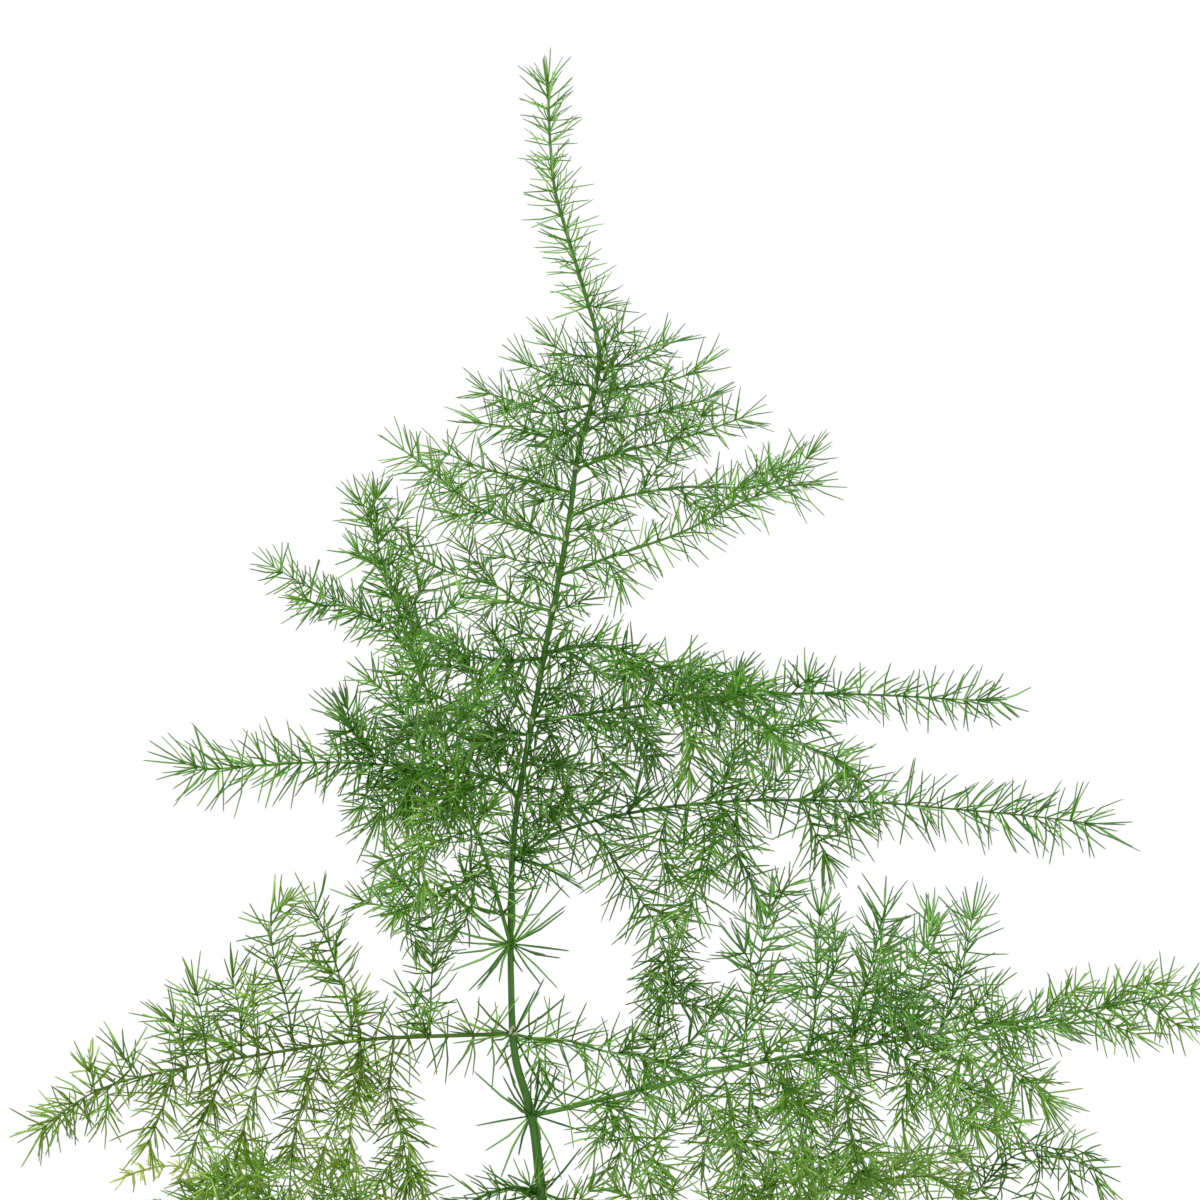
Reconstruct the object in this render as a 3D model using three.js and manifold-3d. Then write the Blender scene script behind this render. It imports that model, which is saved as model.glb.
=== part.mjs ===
// Potted asparagus fern: one tall feathery frond above a clump of lower arching fronds, in a plain
// round pot. Millimetres, +Z up. The origin is the middle of the pot's flat base, and the tall
// frond spreads along X, as it is seen from the front.
import * as THREE from 'three';
import { mergeVertices } from 'three/addons/utils/BufferGeometryUtils.js';
import Module from 'manifold-3d';

const wasm = await Module();
wasm.setup();

// Pot
const POT_HEIGHT = 112;
const POT_FOOT_RADIUS = 45;
const POT_RIM_RADIUS = 66;
const POT_WALL = 5;
const POT_FLOOR = 7;
const RIM_BAND_HEIGHT = 24;
const RIM_BAND_STEP = 3.5;
const RIM_ROUNDING = 1.5;
const ROUND_SIDES = 32;

// Potting mix
const MIX_BELOW_RIM = 13;
const MIX_TOP = POT_HEIGHT - MIX_BELOW_RIM;
const MIX_MOUND = 3;
const MIX_RELIEF = 0.9;
const LUMP_LENGTH = { x: 20, y: 23, slant: 57 };
const MIX_RINGS = 5;
const HOLE_DEPTH = 22;
const HOLE_SIDES = 8;

// Pieces that touch in the real thing stand this far apart
const CLEARANCE = 0.3;

// Stems. A radius is that of the corners.
const STEM_ABOVE_MIX = 5;
const STEM_SIDES = 5;
const STEM_STEP = 9;
const TALL_STEM = { foot: 1.3, tip: 0.62 };
const TALL_FOOT = { x: 11, y: 2 };
const LOWER_STEM = { foot: 1.1, tip: 0.62 };

// Sprays: slim three-sided twigs with a needle on each side at every node
const SPRAY_SIDES = 3;
const TWIG_FOOT = 0.62;
const TWIG_TIP = 0.4;
const NODE_BAND = 0.55;
const JOINT_FLARE = 1;
const FRAME_STEPS = 120;
const NODE_TURN = 50;
const NEEDLE_LENGTH = 7.2;
const LEADER_NEEDLE_LENGTH = 6.2;
const NEEDLE_ANGLE = 58;
const NEEDLE_ANGLE_SPREAD = 12;
const TIP_NEEDLE_SHARE = 0.6;
const LENGTH_SPREAD = 0.12;

// The bare stretch before a spray's first node, and the distance between its nodes
const TALL_LEADER_NODES = { bare: 3, internode: 5 };
const BRANCH_NODES = { bare: 6, internode: 9.5 };
const TWIG_NODES = { bare: 5, internode: 10 };
const LOWER_LEADER_NODES = { bare: 2, internode: 9.5 };
const LOWER_TWIG_NODES = { bare: 8, internode: 12 };

// Star-shaped whorls of long needles round the tall stem
const WHORL_NEEDLES = 9;
const WHORL_NEEDLE_RADIUS = 0.32;
const WHORL_NEEDLE_LENGTH = 14.5;
const WHORL_ANGLE = 78;
const WHORL_ANGLE_SPREAD = 22;
const WHORL_TURN_SPREAD = 0.3;

// Heights in the tall frond's tables are measured from this line, the level of its lowest leafy node
const LEAFY_LINE = 270;

// The height above that line where the tall stem, free of side branches, becomes its leading spray
const LEADER_START = 176;

const STEM_SAMPLES = 60;
const LEADER_OVERLAP = 1;
const SEARCH_STEPS = 400;
const TALL_SEED = 11;
const LOWER_SEED = 21;
const NEEDLE_SEED_STEP = 100;

// The arch of a lower frond, as shares of its reach and its rise, and the share of it that is bare
const ARCH_START = { out: 0.02, up: 0.62 };
const ARCH_TOP = { out: 0.42, up: 1.16 };
const ARCH_POINTS = 10;
const LEAFY_FROM = 0.46;

// A lower frond's side branches: how far they lean towards its tip, how they arch, and how their
// length swells and falls from the first to the last, as shares of half a turn
const BRANCH_FAN = 34;
const BRANCH_FAN_SPREAD = 8;
const BRANCH_ARCH = 0.06;
const BRANCH_DROOP = 0.08;
const SWELL_FROM = 0.25;
const SWELL_RANGE = 0.7;

// The lower fronds, from the left one round the front. The heading is the way that a frond leans,
// in degrees from the right towards the back. It climbs by the rise and goes out by the reach from
// its foot, its tip hangs by the droop, its blade is rolled about its own line by the roll, and its
// longest side branch is the spread.
const LOWER_FRONDS = [
  {
    name: 'frond_left', heading: 160, footRadius: 20,
    rise: 156, reach: 54, droop: -6, roll: -16, spread: 34,
  },
  {
    name: 'frond_front_left', heading: 208, footRadius: 17,
    rise: 136, reach: 116, droop: 18, roll: 0, spread: 52,
  },
  {
    name: 'frond_front', heading: 263, footRadius: 16,
    rise: 122, reach: 112, droop: 22, roll: 6, spread: 50,
  },
  {
    name: 'frond_front_right', heading: 319, footRadius: 18,
    rise: 142, reach: 118, droop: 16, roll: -6, spread: 52,
  },
  {
    name: 'frond_right', heading: 20, footRadius: 27,
    rise: 162, reach: 62, droop: -2, roll: 12, spread: 36,
  },
  {
    name: 'frond_back_right', heading: 64, footRadius: 20,
    rise: 128, reach: 108, droop: 16, roll: 0, spread: 50,
  },
  {
    name: 'frond_back_left', heading: 114, footRadius: 18,
    rise: 138, reach: 110, droop: 14, roll: 4, spread: 50,
  },
];

const MATERIALS = {
  pot: { color: 0xb5694a, roughness: 0.85, metalness: 0 },
  mix: { color: 0x3b2a1e, roughness: 0.95, metalness: 0 },
  tall: { color: 0x4f8a3a, roughness: 0.55, metalness: 0 },
  lower: { color: 0x5d8f3e, roughness: 0.55, metalness: 0 },
};

// The tall frond's stem, from the first bend above the mix to the tip: right, back, up
const TALL_STEM_PATH = [
  [9, 1, -120], [5, 0, -60], [2, 0, -20], [0.2, 0, 2], [-1.6, 0, 16.6], [-5, 0, 29], [-5.8, 0, 44],
  [-5.8, 0, 60], [-5.2, 0, 73], [-3, 0, 88], [-0.4, 0, 102], [1.4, 0, 112], [4, 0, 125.6],
  [6, 0, 137], [7.4, 0, 148], [10, 0, 158], [11.8, 0, 167], [11.4, 0, 173], [9.4, 0, 180],
  [5.6, 0, 192.6], [3, 0, 202], [2, 0, 212], [1.6, 0, 222],
];

// Star-shaped whorls of long needles stand round the tall stem at these heights
const TALL_WHORLS = [2, 16.6, 33, 51.4];

// Side branches of the tall frond, from the lowest up. A point gives how far right of the pot's
// middle it is, how far it has come back or forward since it left the stem, and its height above the
// leafy line. Its twigs are given in the same way from where they leave the branch.
const TALL_BRANCHES = [
  {
    foot: 0.6,
    path: [[0.2, 0, 2], [-4, -2, 2.6], [-9, -5, 2], [-14, -8, 0], [-18, -10, -3]],
    twigs: [],
  },
  {
    foot: 0.8,
    path: [[-1.6, 0, 16.6], [6, -1, 18.6], [24, -4, 23.2], [47, -8, 28.4], [72, -11, 32.4],
      [94, -12, 36], [114, -12, 39.2], [132, -12, 42], [140, -12, 43.4]],
    twigs: [
      [[15, 0, 20.6], [17.6, -3, 16], [20, -6, 10], [22, -8, 4], [23, -9, -2]],
      [[29, 0, 24], [33, 3, 20], [37, 5, 15]],
      [[36, 0, 26], [38.5, -3, 17], [40, -6, 8], [41, -8, 0]],
      [[40, 0, 27], [41.6, 4, 37], [43.6, 7, 46], [45, 9, 54], [46.6, 10, 62]],
      [[47, 0, 28], [50, -4, 22], [52, -7, 16], [52, -9, 8], [51, -10, -2]],
      [[54, 0, 29.5], [54.8, -4, 38], [55.2, -8, 50], [55.8, -10, 61]],
      [[58, 0, 30], [61, 5, 20], [63, 8, 10], [64, 10, 1]],
      [[62, 0, 31], [64, 3, 40], [67, 6, 50], [69.6, 8, 62]],
      [[64, 0, 31], [67, -7, 41], [73, -11, 47], [77, -13, 53], [79, -14, 59]],
      [[68, 0, 31.6], [76, -3, 27], [84, -6, 24], [91, -8, 20]],
      [[80, 0, 33.4], [81.6, 3, 39], [84.4, 6, 47], [87, 8, 60]],
      [[86, 0, 34.6], [83, -8, 28], [81, -12, 21], [82, -14, 15]],
      [[91, 0, 35.6], [93, 5, 28], [97, 8, 23], [104, 10, 18.5]],
      [[92, 0, 35.8], [98, 7, 34.5], [104, 10, 35.2], [110, 12, 35.4]],
    ],
  },
  {
    foot: 0.55,
    path: [[-5.8, 0, 33], [0, 3, 32], [6, 6, 31.6], [13, 9, 29.4], [22, 12, 28], [30, 15, 24]],
    twigs: [],
  },
  {
    foot: 0.6,
    path: [[-5.8, 0, 33], [-22, -2, 32.8], [-37, -5, 32], [-58, -9, 29], [-78, -12, 25.4],
      [-89, -13, 23], [-97, -13, 16], [-103, -12, 9.5]],
    twigs: [
      [[-22, 0, 32.8], [-21.8, 4, 42], [-21.4, 6, 52], [-22, 8, 62]],
      [[-29, 0, 32.4], [-30, 3, 22], [-27.6, 5, 13], [-26, 6, 1]],
      [[-36, 0, 32], [-36, -5, 24], [-41, -9, 16], [-44.4, -11, 6], [-45, -12, -3]],
      [[-37, 0, 32], [-39, 5, 41], [-43, 8, 53], [-46.6, 10, 61]],
      [[-43, 0, 31], [-45.6, 4, 23], [-48.4, 7, 16], [-50, 9, 7]],
      [[-48.6, 0, 30.4], [-50.4, -4, 40], [-53, -7, 50], [-53.6, -9, 61]],
      [[-54, 0, 29.6], [-57.6, -5, 20], [-59.4, -8, 11]],
      [[-59, 0, 29], [-60, 4, 38], [-62.2, 6, 48]],
      [[-62, 0, 28.4], [-64.6, 4, 22], [-67, 6, 16.5]],
      [[-66, 0, 27.6], [-67, -4, 36], [-69, -6, 46]],
      [[-70, 0, 27], [-72, 4, 34], [-75, 6, 39]],
      [[-73, 0, 26.4], [-75, -3, 19], [-79, -5, 9]],
      [[-80, 0, 25], [-83, 4, 29], [-85, 5, 32]],
    ],
  },
  {
    foot: 0.75,
    path: [[-5.8, 0, 51.4], [-10.6, -6, 68], [-15, -13, 80], [-18, -18, 90], [-24, -26, 107],
      [-28.6, -31, 121], [-32.6, -34, 133], [-36.6, -36, 143]],
    twigs: [
      [[-10, 0, 66], [-18, 4, 62], [-28, 8, 58.6], [-39, 10, 60.4]],
      [[-13, 0, 75], [-20, -5, 72], [-28, -9, 69], [-34, -11, 67.5]],
      [[-16, 0, 83], [-22, -4, 80], [-24, -7, 71], [-22, -9, 60]],
      [[-17, 0, 88], [-27, 5, 86], [-36, 9, 92], [-39.4, 11, 102]],
      [[-19, 0, 93], [-13, -8, 99], [-8, -12, 108]],
      [[-21.6, 0, 100], [-29, -6, 101], [-36, -9, 107]],
      [[-24, 0, 107], [-31, 7, 115], [-45, 13, 122], [-56, 16, 128.4]],
      [[-26, 0, 113], [-19, -6, 117], [-13, -9, 123]],
      [[-30, 0, 126], [-36, 4, 129], [-40, 6, 134]],
      [[-31.6, 0, 130], [-26, -4, 134], [-22, -6, 139]],
    ],
  },
  {
    foot: 0.5,
    path: [[-5.8, 0, 68.6], [-1, -4, 67.6], [5, -7, 64.6]],
    twigs: [],
  },
  {
    foot: 0.65,
    path: [[-5.8, 0, 68.6], [4, 3, 73.6], [20, 8, 77.6], [40, 13, 79.6], [64, 17, 79.6],
      [84, 19, 78.4], [100, 20, 76.8], [115, 20, 75]],
    twigs: [
      [[10, 0, 75.2], [16, 6, 66], [23, 10, 55], [26, 12, 45], [23, 14, 32]],
      [[18, 0, 77], [20, -5, 84], [25, -8, 90]],
      [[26, 0, 78.4], [24, 5, 69], [29, 8, 61]],
      [[32, 0, 79], [33, -5, 72], [31, -8, 62], [28.6, -9, 54]],
      [[36, 0, 79.4], [38, 4, 87], [42, 6, 93]],
      [[40, 0, 79.6], [39, 5, 72], [42, 8, 64], [46, 10, 59]],
      [[48, 0, 79.8], [47, -5, 72], [50, -8, 66]],
      [[53, 0, 80], [55.8, 4, 72], [59, 6, 65.4]],
      [[60, 0, 79.8], [64, -4, 74], [67, -6, 70.5]],
    ],
  },
  {
    foot: 0.6,
    path: [[-4, 0, 80], [-9, -2, 84.4], [-24, -5, 86.4], [-40, -7, 87.6], [-54, -8, 87.2],
      [-68, -8, 85.8], [-79, -8, 88.4]],
    twigs: [
      [[-14, 0, 85], [-18, 6, 78], [-25, 9, 73]],
      [[-20, 0, 86], [-25, 6, 94], [-30, 9, 101]],
      [[-27, 0, 86.6], [-31, 5, 79], [-34, 8, 73]],
      [[-33, 0, 87], [-37, -6, 94], [-40, -9, 100]],
      [[-40, 0, 87.4], [-43, 4, 82], [-45, 6, 77]],
    ],
  },
  {
    foot: 0.6,
    path: [[-2.6, 0, 93], [-8, 3, 94], [-16, 8, 98], [-26, 12, 104], [-34, 15, 108]],
    twigs: [
      [[-10, 0, 95], [-12, 6, 103], [-17, 9, 110]],
      [[-18, 0, 99], [-24, 5, 94], [-31, 8, 94]],
    ],
  },
  {
    foot: 0.65,
    path: [[-2, 0, 95.2], [12, 4, 97.6], [32, 9, 100.2], [52, 12, 101.2], [70, 14, 100.8],
      [84, 15, 100], [96, 15, 99.6]],
    twigs: [
      [[8, 0, 97], [12, -5, 90], [18, -8, 85]],
      [[16, 0, 98.4], [19, 5, 91], [24, 8, 86]],
      [[24, 0, 99.4], [28, 6, 105], [33, 9, 109]],
      [[32, 0, 100.2], [31, -5, 92], [29, -8, 83]],
      [[42, 0, 100.8], [46, 4, 94], [49, 6, 88]],
      [[50, 0, 101.2], [54, -4, 105], [60, -6, 107.5]],
    ],
  },
  {
    foot: 0.6,
    path: [[1, 0, 108.6], [-5, -4, 108], [-13, -9, 108.6], [-20, -13, 111], [-26, -16, 116]],
    twigs: [
      [[-6, 0, 108.4], [-9, -5, 114], [-13, -8, 118]],
      [[-11, 0, 108.6], [-13, -5, 102], [-18, -8, 98]],
    ],
  },
  {
    foot: 0.65,
    path: [[1, 0, 110], [12, -5, 110.8], [24, -11, 106.6], [38, -17, 98.4], [52, -22, 91.6],
      [62, -25, 86], [68, -26, 78]],
    twigs: [
      [[8, 0, 110.6], [14, 6, 115], [20, 9, 116.5]],
      [[15, 0, 110], [18, -5, 103], [24, -8, 98]],
      [[24, 0, 106.6], [30, 6, 109], [37, 9, 108]],
      [[29, 0, 103.6], [29, -5, 95], [32, -8, 88]],
      [[36, 0, 99.6], [43, -5, 102], [49, -7, 101]],
      [[41, 0, 96.8], [41, 5, 89], [44, 8, 84]],
      [[48, 0, 93.4], [54, 5, 97], [60, 7, 97]],
      [[56, 0, 89.8], [63, -4, 91], [67, -5, 90.5]],
    ],
  },
  {
    foot: 0.55,
    path: [[2.2, 0, 118], [-4, 2, 119.4], [-9, 4, 122.8], [-20, 7, 126.2], [-29, 9, 131]],
    twigs: [],
  },
  {
    foot: 0.55,
    path: [[4, 0, 125.2], [14, -3, 128.6], [28, -7, 133.4], [40, -9, 139.4], [50, -10, 142.8],
      [57, -10, 143]],
    twigs: [
      [[43, 0, 141], [48, -3, 146], [52, -4, 150]],
    ],
  },
  {
    foot: 0.55,
    path: [[4.8, 0, 131.4], [-4, -2, 134.4], [-13, -5, 139], [-22, -7, 146], [-30, -8, 152]],
    twigs: [],
  },
  {
    foot: 0.55,
    path: [[6, 0, 136.6], [15, 3, 140.2], [28, 6, 143], [42, 8, 143.6], [51, 9, 147],
      [56.5, 9, 153]],
    twigs: [],
  },
  {
    foot: 0.5,
    path: [[6.6, 0, 142], [-2, 3, 143.8], [-13, 6, 147], [-23, 7, 151.5]],
    twigs: [],
  },
  {
    foot: 0.5,
    path: [[7.6, 0, 146.6], [18, -3, 150], [30, -6, 152.8], [43.5, -8, 157.5]],
    twigs: [],
  },
  {
    foot: 0.5,
    path: [[9.2, 0, 153], [14, 3, 156.2], [25, 6, 157.8], [37, 8, 161.4]],
    twigs: [],
  },
  {
    foot: 0.5,
    path: [[9.6, 0, 156.4], [3, -3, 152.6], [-6, -6, 154.4], [-15.5, -8, 156]],
    twigs: [],
  },
  {
    foot: 0.5,
    path: [[10.2, 0, 159], [1, 3, 157.4], [-6, 5, 160], [-14, 7, 162.6]],
    twigs: [],
  },
  {
    foot: 0.5,
    path: [[11.2, 0, 161], [19, -4, 162.8], [28, -7, 164.4], [35.5, -9, 168.6]],
    twigs: [],
  },
  {
    foot: 0.45,
    path: [[11.2, 0, 162.4], [4, -3, 164.2], [-6, -6, 168.4]],
    twigs: [],
  },
  {
    foot: 0.45,
    path: [[11.6, 0, 166], [20, 3, 168.6], [28.5, 5, 175.4]],
    twigs: [],
  },
  {
    foot: 0.45,
    path: [[11.6, 0, 168], [5, 3, 170.6], [0, 4, 176.6]],
    twigs: [],
  },
];

function radians(degrees) {
  return (degrees * Math.PI) / 180;
}

// A seeded stream of numbers from 0 to 1
function seededStream(seed) {
  let state = seed;
  return () => {
    state = (state + 0x6d2b79f5) | 0;
    let mixed = Math.imul(state ^ (state >>> 15), 1 | state);
    mixed = (mixed + Math.imul(mixed ^ (mixed >>> 7), 61 | mixed)) ^ mixed;
    return ((mixed ^ (mixed >>> 14)) >>> 0) / 4294967296;
  };
}

// A factor that differs from 1 by at most the given share
function vary(random, share) {
  return 1 + share * (2 * random() - 1);
}

// An angle in radians, at most the given spread away from its middle value
function varyAngle(random, degrees, spread) {
  return radians(degrees + spread * (2 * random() - 1));
}

function smoothPath(points) {
  return new THREE.CatmullRomCurve3(points, false, 'catmullrom', 0.5);
}

function toSolid(geometry) {
  const bare = geometry.clone();
  bare.deleteAttribute('normal');
  bare.deleteAttribute('uv');
  const merged = mergeVertices(bare);
  const triangles = [];
  for (let i = 0; i < merged.index.count; i += 3) {
    const corners = [merged.index.getX(i), merged.index.getX(i + 1), merged.index.getX(i + 2)];
    if (new Set(corners).size === 3) triangles.push(...corners);
  }
  return new wasm.Manifold(new wasm.Mesh({
    numProp: 3,
    vertProperties: new Float32Array(merged.attributes.position.array),
    triVerts: new Uint32Array(triangles),
  }));
}

function toGeometry(solid) {
  const mesh = solid.getMesh();
  const geometry = new THREE.BufferGeometry();
  geometry.setAttribute('position', new THREE.BufferAttribute(mesh.vertProperties, 3));
  geometry.setIndex(new THREE.BufferAttribute(mesh.triVerts, 1));
  geometry.computeVertexNormals();
  return geometry;
}

function roundSection(radius, sides) {
  const corners = [];
  for (let i = 0; i < sides; i += 1) {
    const angle = (2 * Math.PI * i) / sides;
    corners.push(new THREE.Vector2(radius * Math.cos(angle), radius * Math.sin(angle)));
  }
  return new THREE.Shape(corners);
}

// A main stem: a tube along its path that narrows evenly from its foot to its tip
function taperedStem(path, { foot, tip }) {
  const steps = Math.round(path.getLength() / STEM_STEP);
  const tube = new THREE.ExtrudeGeometry(roundSection(foot, STEM_SIDES), {
    steps,
    bevelEnabled: false,
    extrudePath: path,
  });
  const centres = path.getSpacedPoints(steps);
  const position = tube.attributes.position;
  const corner = new THREE.Vector3();
  for (let i = 0; i < position.count; i += 1) {
    corner.fromBufferAttribute(position, i);
    const gaps = centres.map((centre) => centre.distanceToSquared(corner));
    const nearest = gaps.indexOf(Math.min(...gaps));
    const narrowing = THREE.MathUtils.lerp(1, tip / foot, nearest / steps);
    corner.sub(centres[nearest]).multiplyScalar(narrowing).add(centres[nearest]);
    position.setXYZ(i, corner.x, corner.y, corner.z);
  }
  return toSolid(tube);
}

// Where a twig's nodes are, as distances along it
function nodesOf(path, { bare, internode }) {
  const leafy = path.getLength() - bare;
  const count = Math.max(1, Math.round(leafy / internode));
  return Array.from({ length: count }, (_, i) => bare + (leafy * (i + 1)) / count - NODE_BAND);
}

// A spray: a slim twig along its path whose sides are drawn out into needles at every node. The
// section turns from node to node, so that the needles stand evenly all round, and one last needle
// closes the tip.
function spray(path, layout, { foot, needleLength, random }) {
  const reach = path.getLength();
  const { tangents, normals, binormals } = path.computeFrenetFrames(FRAME_STEPS);
  const corners = [];
  const faces = [];
  let turn = 2 * Math.PI * random();

  const sideDirection = (frame, angle) => normals[frame].clone()
    .multiplyScalar(Math.cos(angle)).addScaledVector(binormals[frame], Math.sin(angle));

  const addRing = (distance) => {
    const place = THREE.MathUtils.clamp(distance / reach, 0, 1);
    const frame = Math.round(place * FRAME_STEPS);
    const radius = THREE.MathUtils.lerp(foot, TWIG_TIP, place);
    const first = corners.length;
    for (let side = 0; side < SPRAY_SIDES; side += 1) {
      const out = sideDirection(frame, turn + (2 * Math.PI * side) / SPRAY_SIDES);
      corners.push(path.getPointAt(place).addScaledVector(out, radius));
    }
    return first;
  };

  const addNeedle = (lower, upper, side, distance) => {
    const frame = Math.round((distance / reach) * FRAME_STEPS);
    const next = (side + 1) % SPRAY_SIDES;
    const out = sideDirection(frame, turn + (2 * Math.PI * (side + 0.5)) / SPRAY_SIDES);
    const lean = varyAngle(random, NEEDLE_ANGLE, NEEDLE_ANGLE_SPREAD);
    const length = needleLength * vary(random, LENGTH_SPREAD);
    const tip = path.getPointAt(distance / reach)
      .addScaledVector(tangents[frame], length * Math.cos(lean))
      .addScaledVector(out, length * Math.sin(lean));
    const point = corners.push(tip) - 1;
    faces.push([lower + side, lower + next, point], [lower + next, upper + next, point]);
    faces.push([upper + next, upper + side, point], [upper + side, lower + side, point]);
  };

  const root = corners.push(path.getPointAt(0)) - 1;
  let below = addRing(JOINT_FLARE);
  for (let side = 0; side < SPRAY_SIDES; side += 1) {
    faces.push([root, below + ((side + 1) % SPRAY_SIDES), below + side]);
  }
  nodesOf(path, layout).forEach((distance) => {
    turn += radians(NODE_TURN);
    const lower = addRing(distance - NODE_BAND / 2);
    const upper = addRing(distance + NODE_BAND / 2);
    for (let side = 0; side < SPRAY_SIDES; side += 1) {
      const next = (side + 1) % SPRAY_SIDES;
      faces.push([below + side, below + next, lower + next]);
      faces.push([below + side, lower + next, lower + side]);
      addNeedle(lower, upper, side, distance);
    }
    below = upper;
  });
  const end = tangents[FRAME_STEPS].clone().multiplyScalar(needleLength * TIP_NEEDLE_SHARE);
  const last = corners.push(path.getPointAt(1).add(end)) - 1;
  for (let side = 0; side < SPRAY_SIDES; side += 1) {
    faces.push([below + side, below + ((side + 1) % SPRAY_SIDES), last]);
  }
  return new wasm.Manifold(new wasm.Mesh({
    numProp: 3,
    vertProperties: new Float32Array(corners.flatMap((corner) => corner.toArray())),
    triVerts: new Uint32Array(faces.flat()),
  }));
}

// A star of long needles round the stem, each a slim three-sided spike rooted in its middle
function whorl(stem, height, random) {
  const place = placeNearest(stem, (point) => Math.abs(point.z - height));
  const root = stem.getPointAt(place);
  const tangent = stem.getTangentAt(place);
  const yAxis = new THREE.Vector3(0, 1, 0);
  const across = new THREE.Vector3().crossVectors(tangent, yAxis).normalize();
  const needles = [];
  for (let i = 0; i < WHORL_NEEDLES; i += 1) {
    const turn = (2 * Math.PI * (i + WHORL_TURN_SPREAD * random())) / WHORL_NEEDLES;
    const lean = varyAngle(random, WHORL_ANGLE, WHORL_ANGLE_SPREAD);
    const length = WHORL_NEEDLE_LENGTH * vary(random, LENGTH_SPREAD);
    const out = across.clone().applyAxisAngle(tangent, turn).multiplyScalar(Math.sin(lean));
    const aim = out.addScaledVector(tangent, Math.cos(lean));
    const spike = new THREE.ConeGeometry(WHORL_NEEDLE_RADIUS, length, 3, 1);
    spike.translate(0, length / 2, 0);
    spike.applyQuaternion(new THREE.Quaternion().setFromUnitVectors(yAxis, aim));
    spike.translate(root.x, root.y, root.z);
    needles.push(toSolid(spike));
  }
  return needles;
}

// All the pieces of one frond, grown together into one body
function grownTogether(pieces) {
  return toGeometry(pieces.reduce((whole, piece) => whole.add(piece)));
}

function placeNearest(path, measure) {
  const gaps = path.getSpacedPoints(SEARCH_STEPS).map(measure);
  return gaps.indexOf(Math.min(...gaps)) / SEARCH_STEPS;
}

// The stretch of a stem that stands upright in its hole, ending just above the mix
function rootedPoints(x, y) {
  const bottom = MIX_TOP - HOLE_DEPTH + CLEARANCE;
  const top = MIX_TOP + MIX_MOUND + STEM_ABOVE_MIX;
  return [bottom, (bottom + top) / 2, top].map((z) => new THREE.Vector3(x, y, z));
}

// A table's point as a place in the tall frond
function tablePoint([x, depth, height], startDepth) {
  return new THREE.Vector3(x, startDepth + depth, LEAFY_LINE + height);
}

function seenApart(a, b) {
  return Math.hypot(a.x - b.x, a.z - b.z);
}

// A path from the tall frond's tables: it starts at the given point of what carries it
function pathFrom(start, [, ...rest]) {
  return smoothPath([start, ...rest.map((point) => tablePoint(point, start.y))]);
}

// The places half-way between a spray's nodes, where twigs leave it clear of its needles
function betweenNodes(path, layout) {
  const reach = path.getLength();
  const distances = nodesOf(path, layout);
  return distances.slice(1).map((upper, i) => {
    const lower = distances[i];
    const start = path.getPointAt(lower / reach).lerp(path.getPointAt(upper / reach), 0.5);
    return { start, tangent: path.getTangentAt((lower + upper) / (2 * reach)) };
  });
}

function nearestStart(branch, layout, wanted) {
  const starts = betweenNodes(branch, layout).map(({ start }) => start);
  const gaps = starts.map((start) => seenApart(start, wanted));
  return starts[gaps.indexOf(Math.min(...gaps))];
}

// A frond's main line: a plain stem up to a share of its length, and a leading spray from there on
function stemAndLeader(path, leaderFrom) {
  const points = path.getSpacedPoints(STEM_SAMPLES);
  const split = Math.round(leaderFrom * STEM_SAMPLES);
  return {
    stem: new THREE.CatmullRomCurve3(points.slice(0, split + 1)),
    leader: new THREE.CatmullRomCurve3(points.slice(split - LEADER_OVERLAP)),
  };
}

function tallFrond() {
  const random = seededStream(TALL_SEED);
  const line = smoothPath([
    ...rootedPoints(TALL_FOOT.x, TALL_FOOT.y),
    ...TALL_STEM_PATH.map((point) => tablePoint(point, 0)),
  ]);
  const leaderFrom = placeNearest(line, (point) => Math.abs(point.z - LEAFY_LINE - LEADER_START));
  const { stem, leader } = stemAndLeader(line, leaderFrom);
  const leaderFinish = { foot: TALL_STEM.tip, needleLength: LEADER_NEEDLE_LENGTH, random };
  const pieces = [taperedStem(stem, TALL_STEM), spray(leader, TALL_LEADER_NODES, leaderFinish)];
  TALL_WHORLS.forEach((height) => pieces.push(...whorl(stem, LEAFY_LINE + height, random)));
  TALL_BRANCHES.forEach(({ foot, path, twigs }) => {
    const wanted = tablePoint(path[0], 0);
    const place = placeNearest(stem, (point) => seenApart(point, wanted));
    const branch = pathFrom(stem.getPointAt(place), path);
    pieces.push(spray(branch, BRANCH_NODES, { foot, needleLength: NEEDLE_LENGTH, random }));
    twigs.forEach((points) => {
      const twig = pathFrom(nearestStart(branch, BRANCH_NODES, tablePoint(points[0], 0)), points);
      pieces.push(spray(twig, TWIG_NODES, { foot: TWIG_FOOT, needleLength: NEEDLE_LENGTH, random }));
    });
  });
  return grownTogether(pieces);
}

// The stem of a lower frond: upright in its hole, then arching out along its heading
function archedStem({ heading, footRadius, rise, reach, droop }) {
  const outward = new THREE.Vector3(Math.cos(radians(heading)), Math.sin(radians(heading)), 0);
  const rooted = rootedPoints(outward.x * footRadius, outward.y * footRadius);
  const [, , base] = rooted;
  const at = (out, climb) => base.clone().addScaledVector(outward, out).setZ(base.z + climb);
  const arch = new THREE.CubicBezierCurve3(
    base,
    at(ARCH_START.out * reach, ARCH_START.up * rise),
    at(ARCH_TOP.out * reach, ARCH_TOP.up * rise),
    at(reach, rise - droop),
  );
  return smoothPath([...rooted, ...arch.getPoints(ARCH_POINTS).slice(1)]);
}

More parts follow.
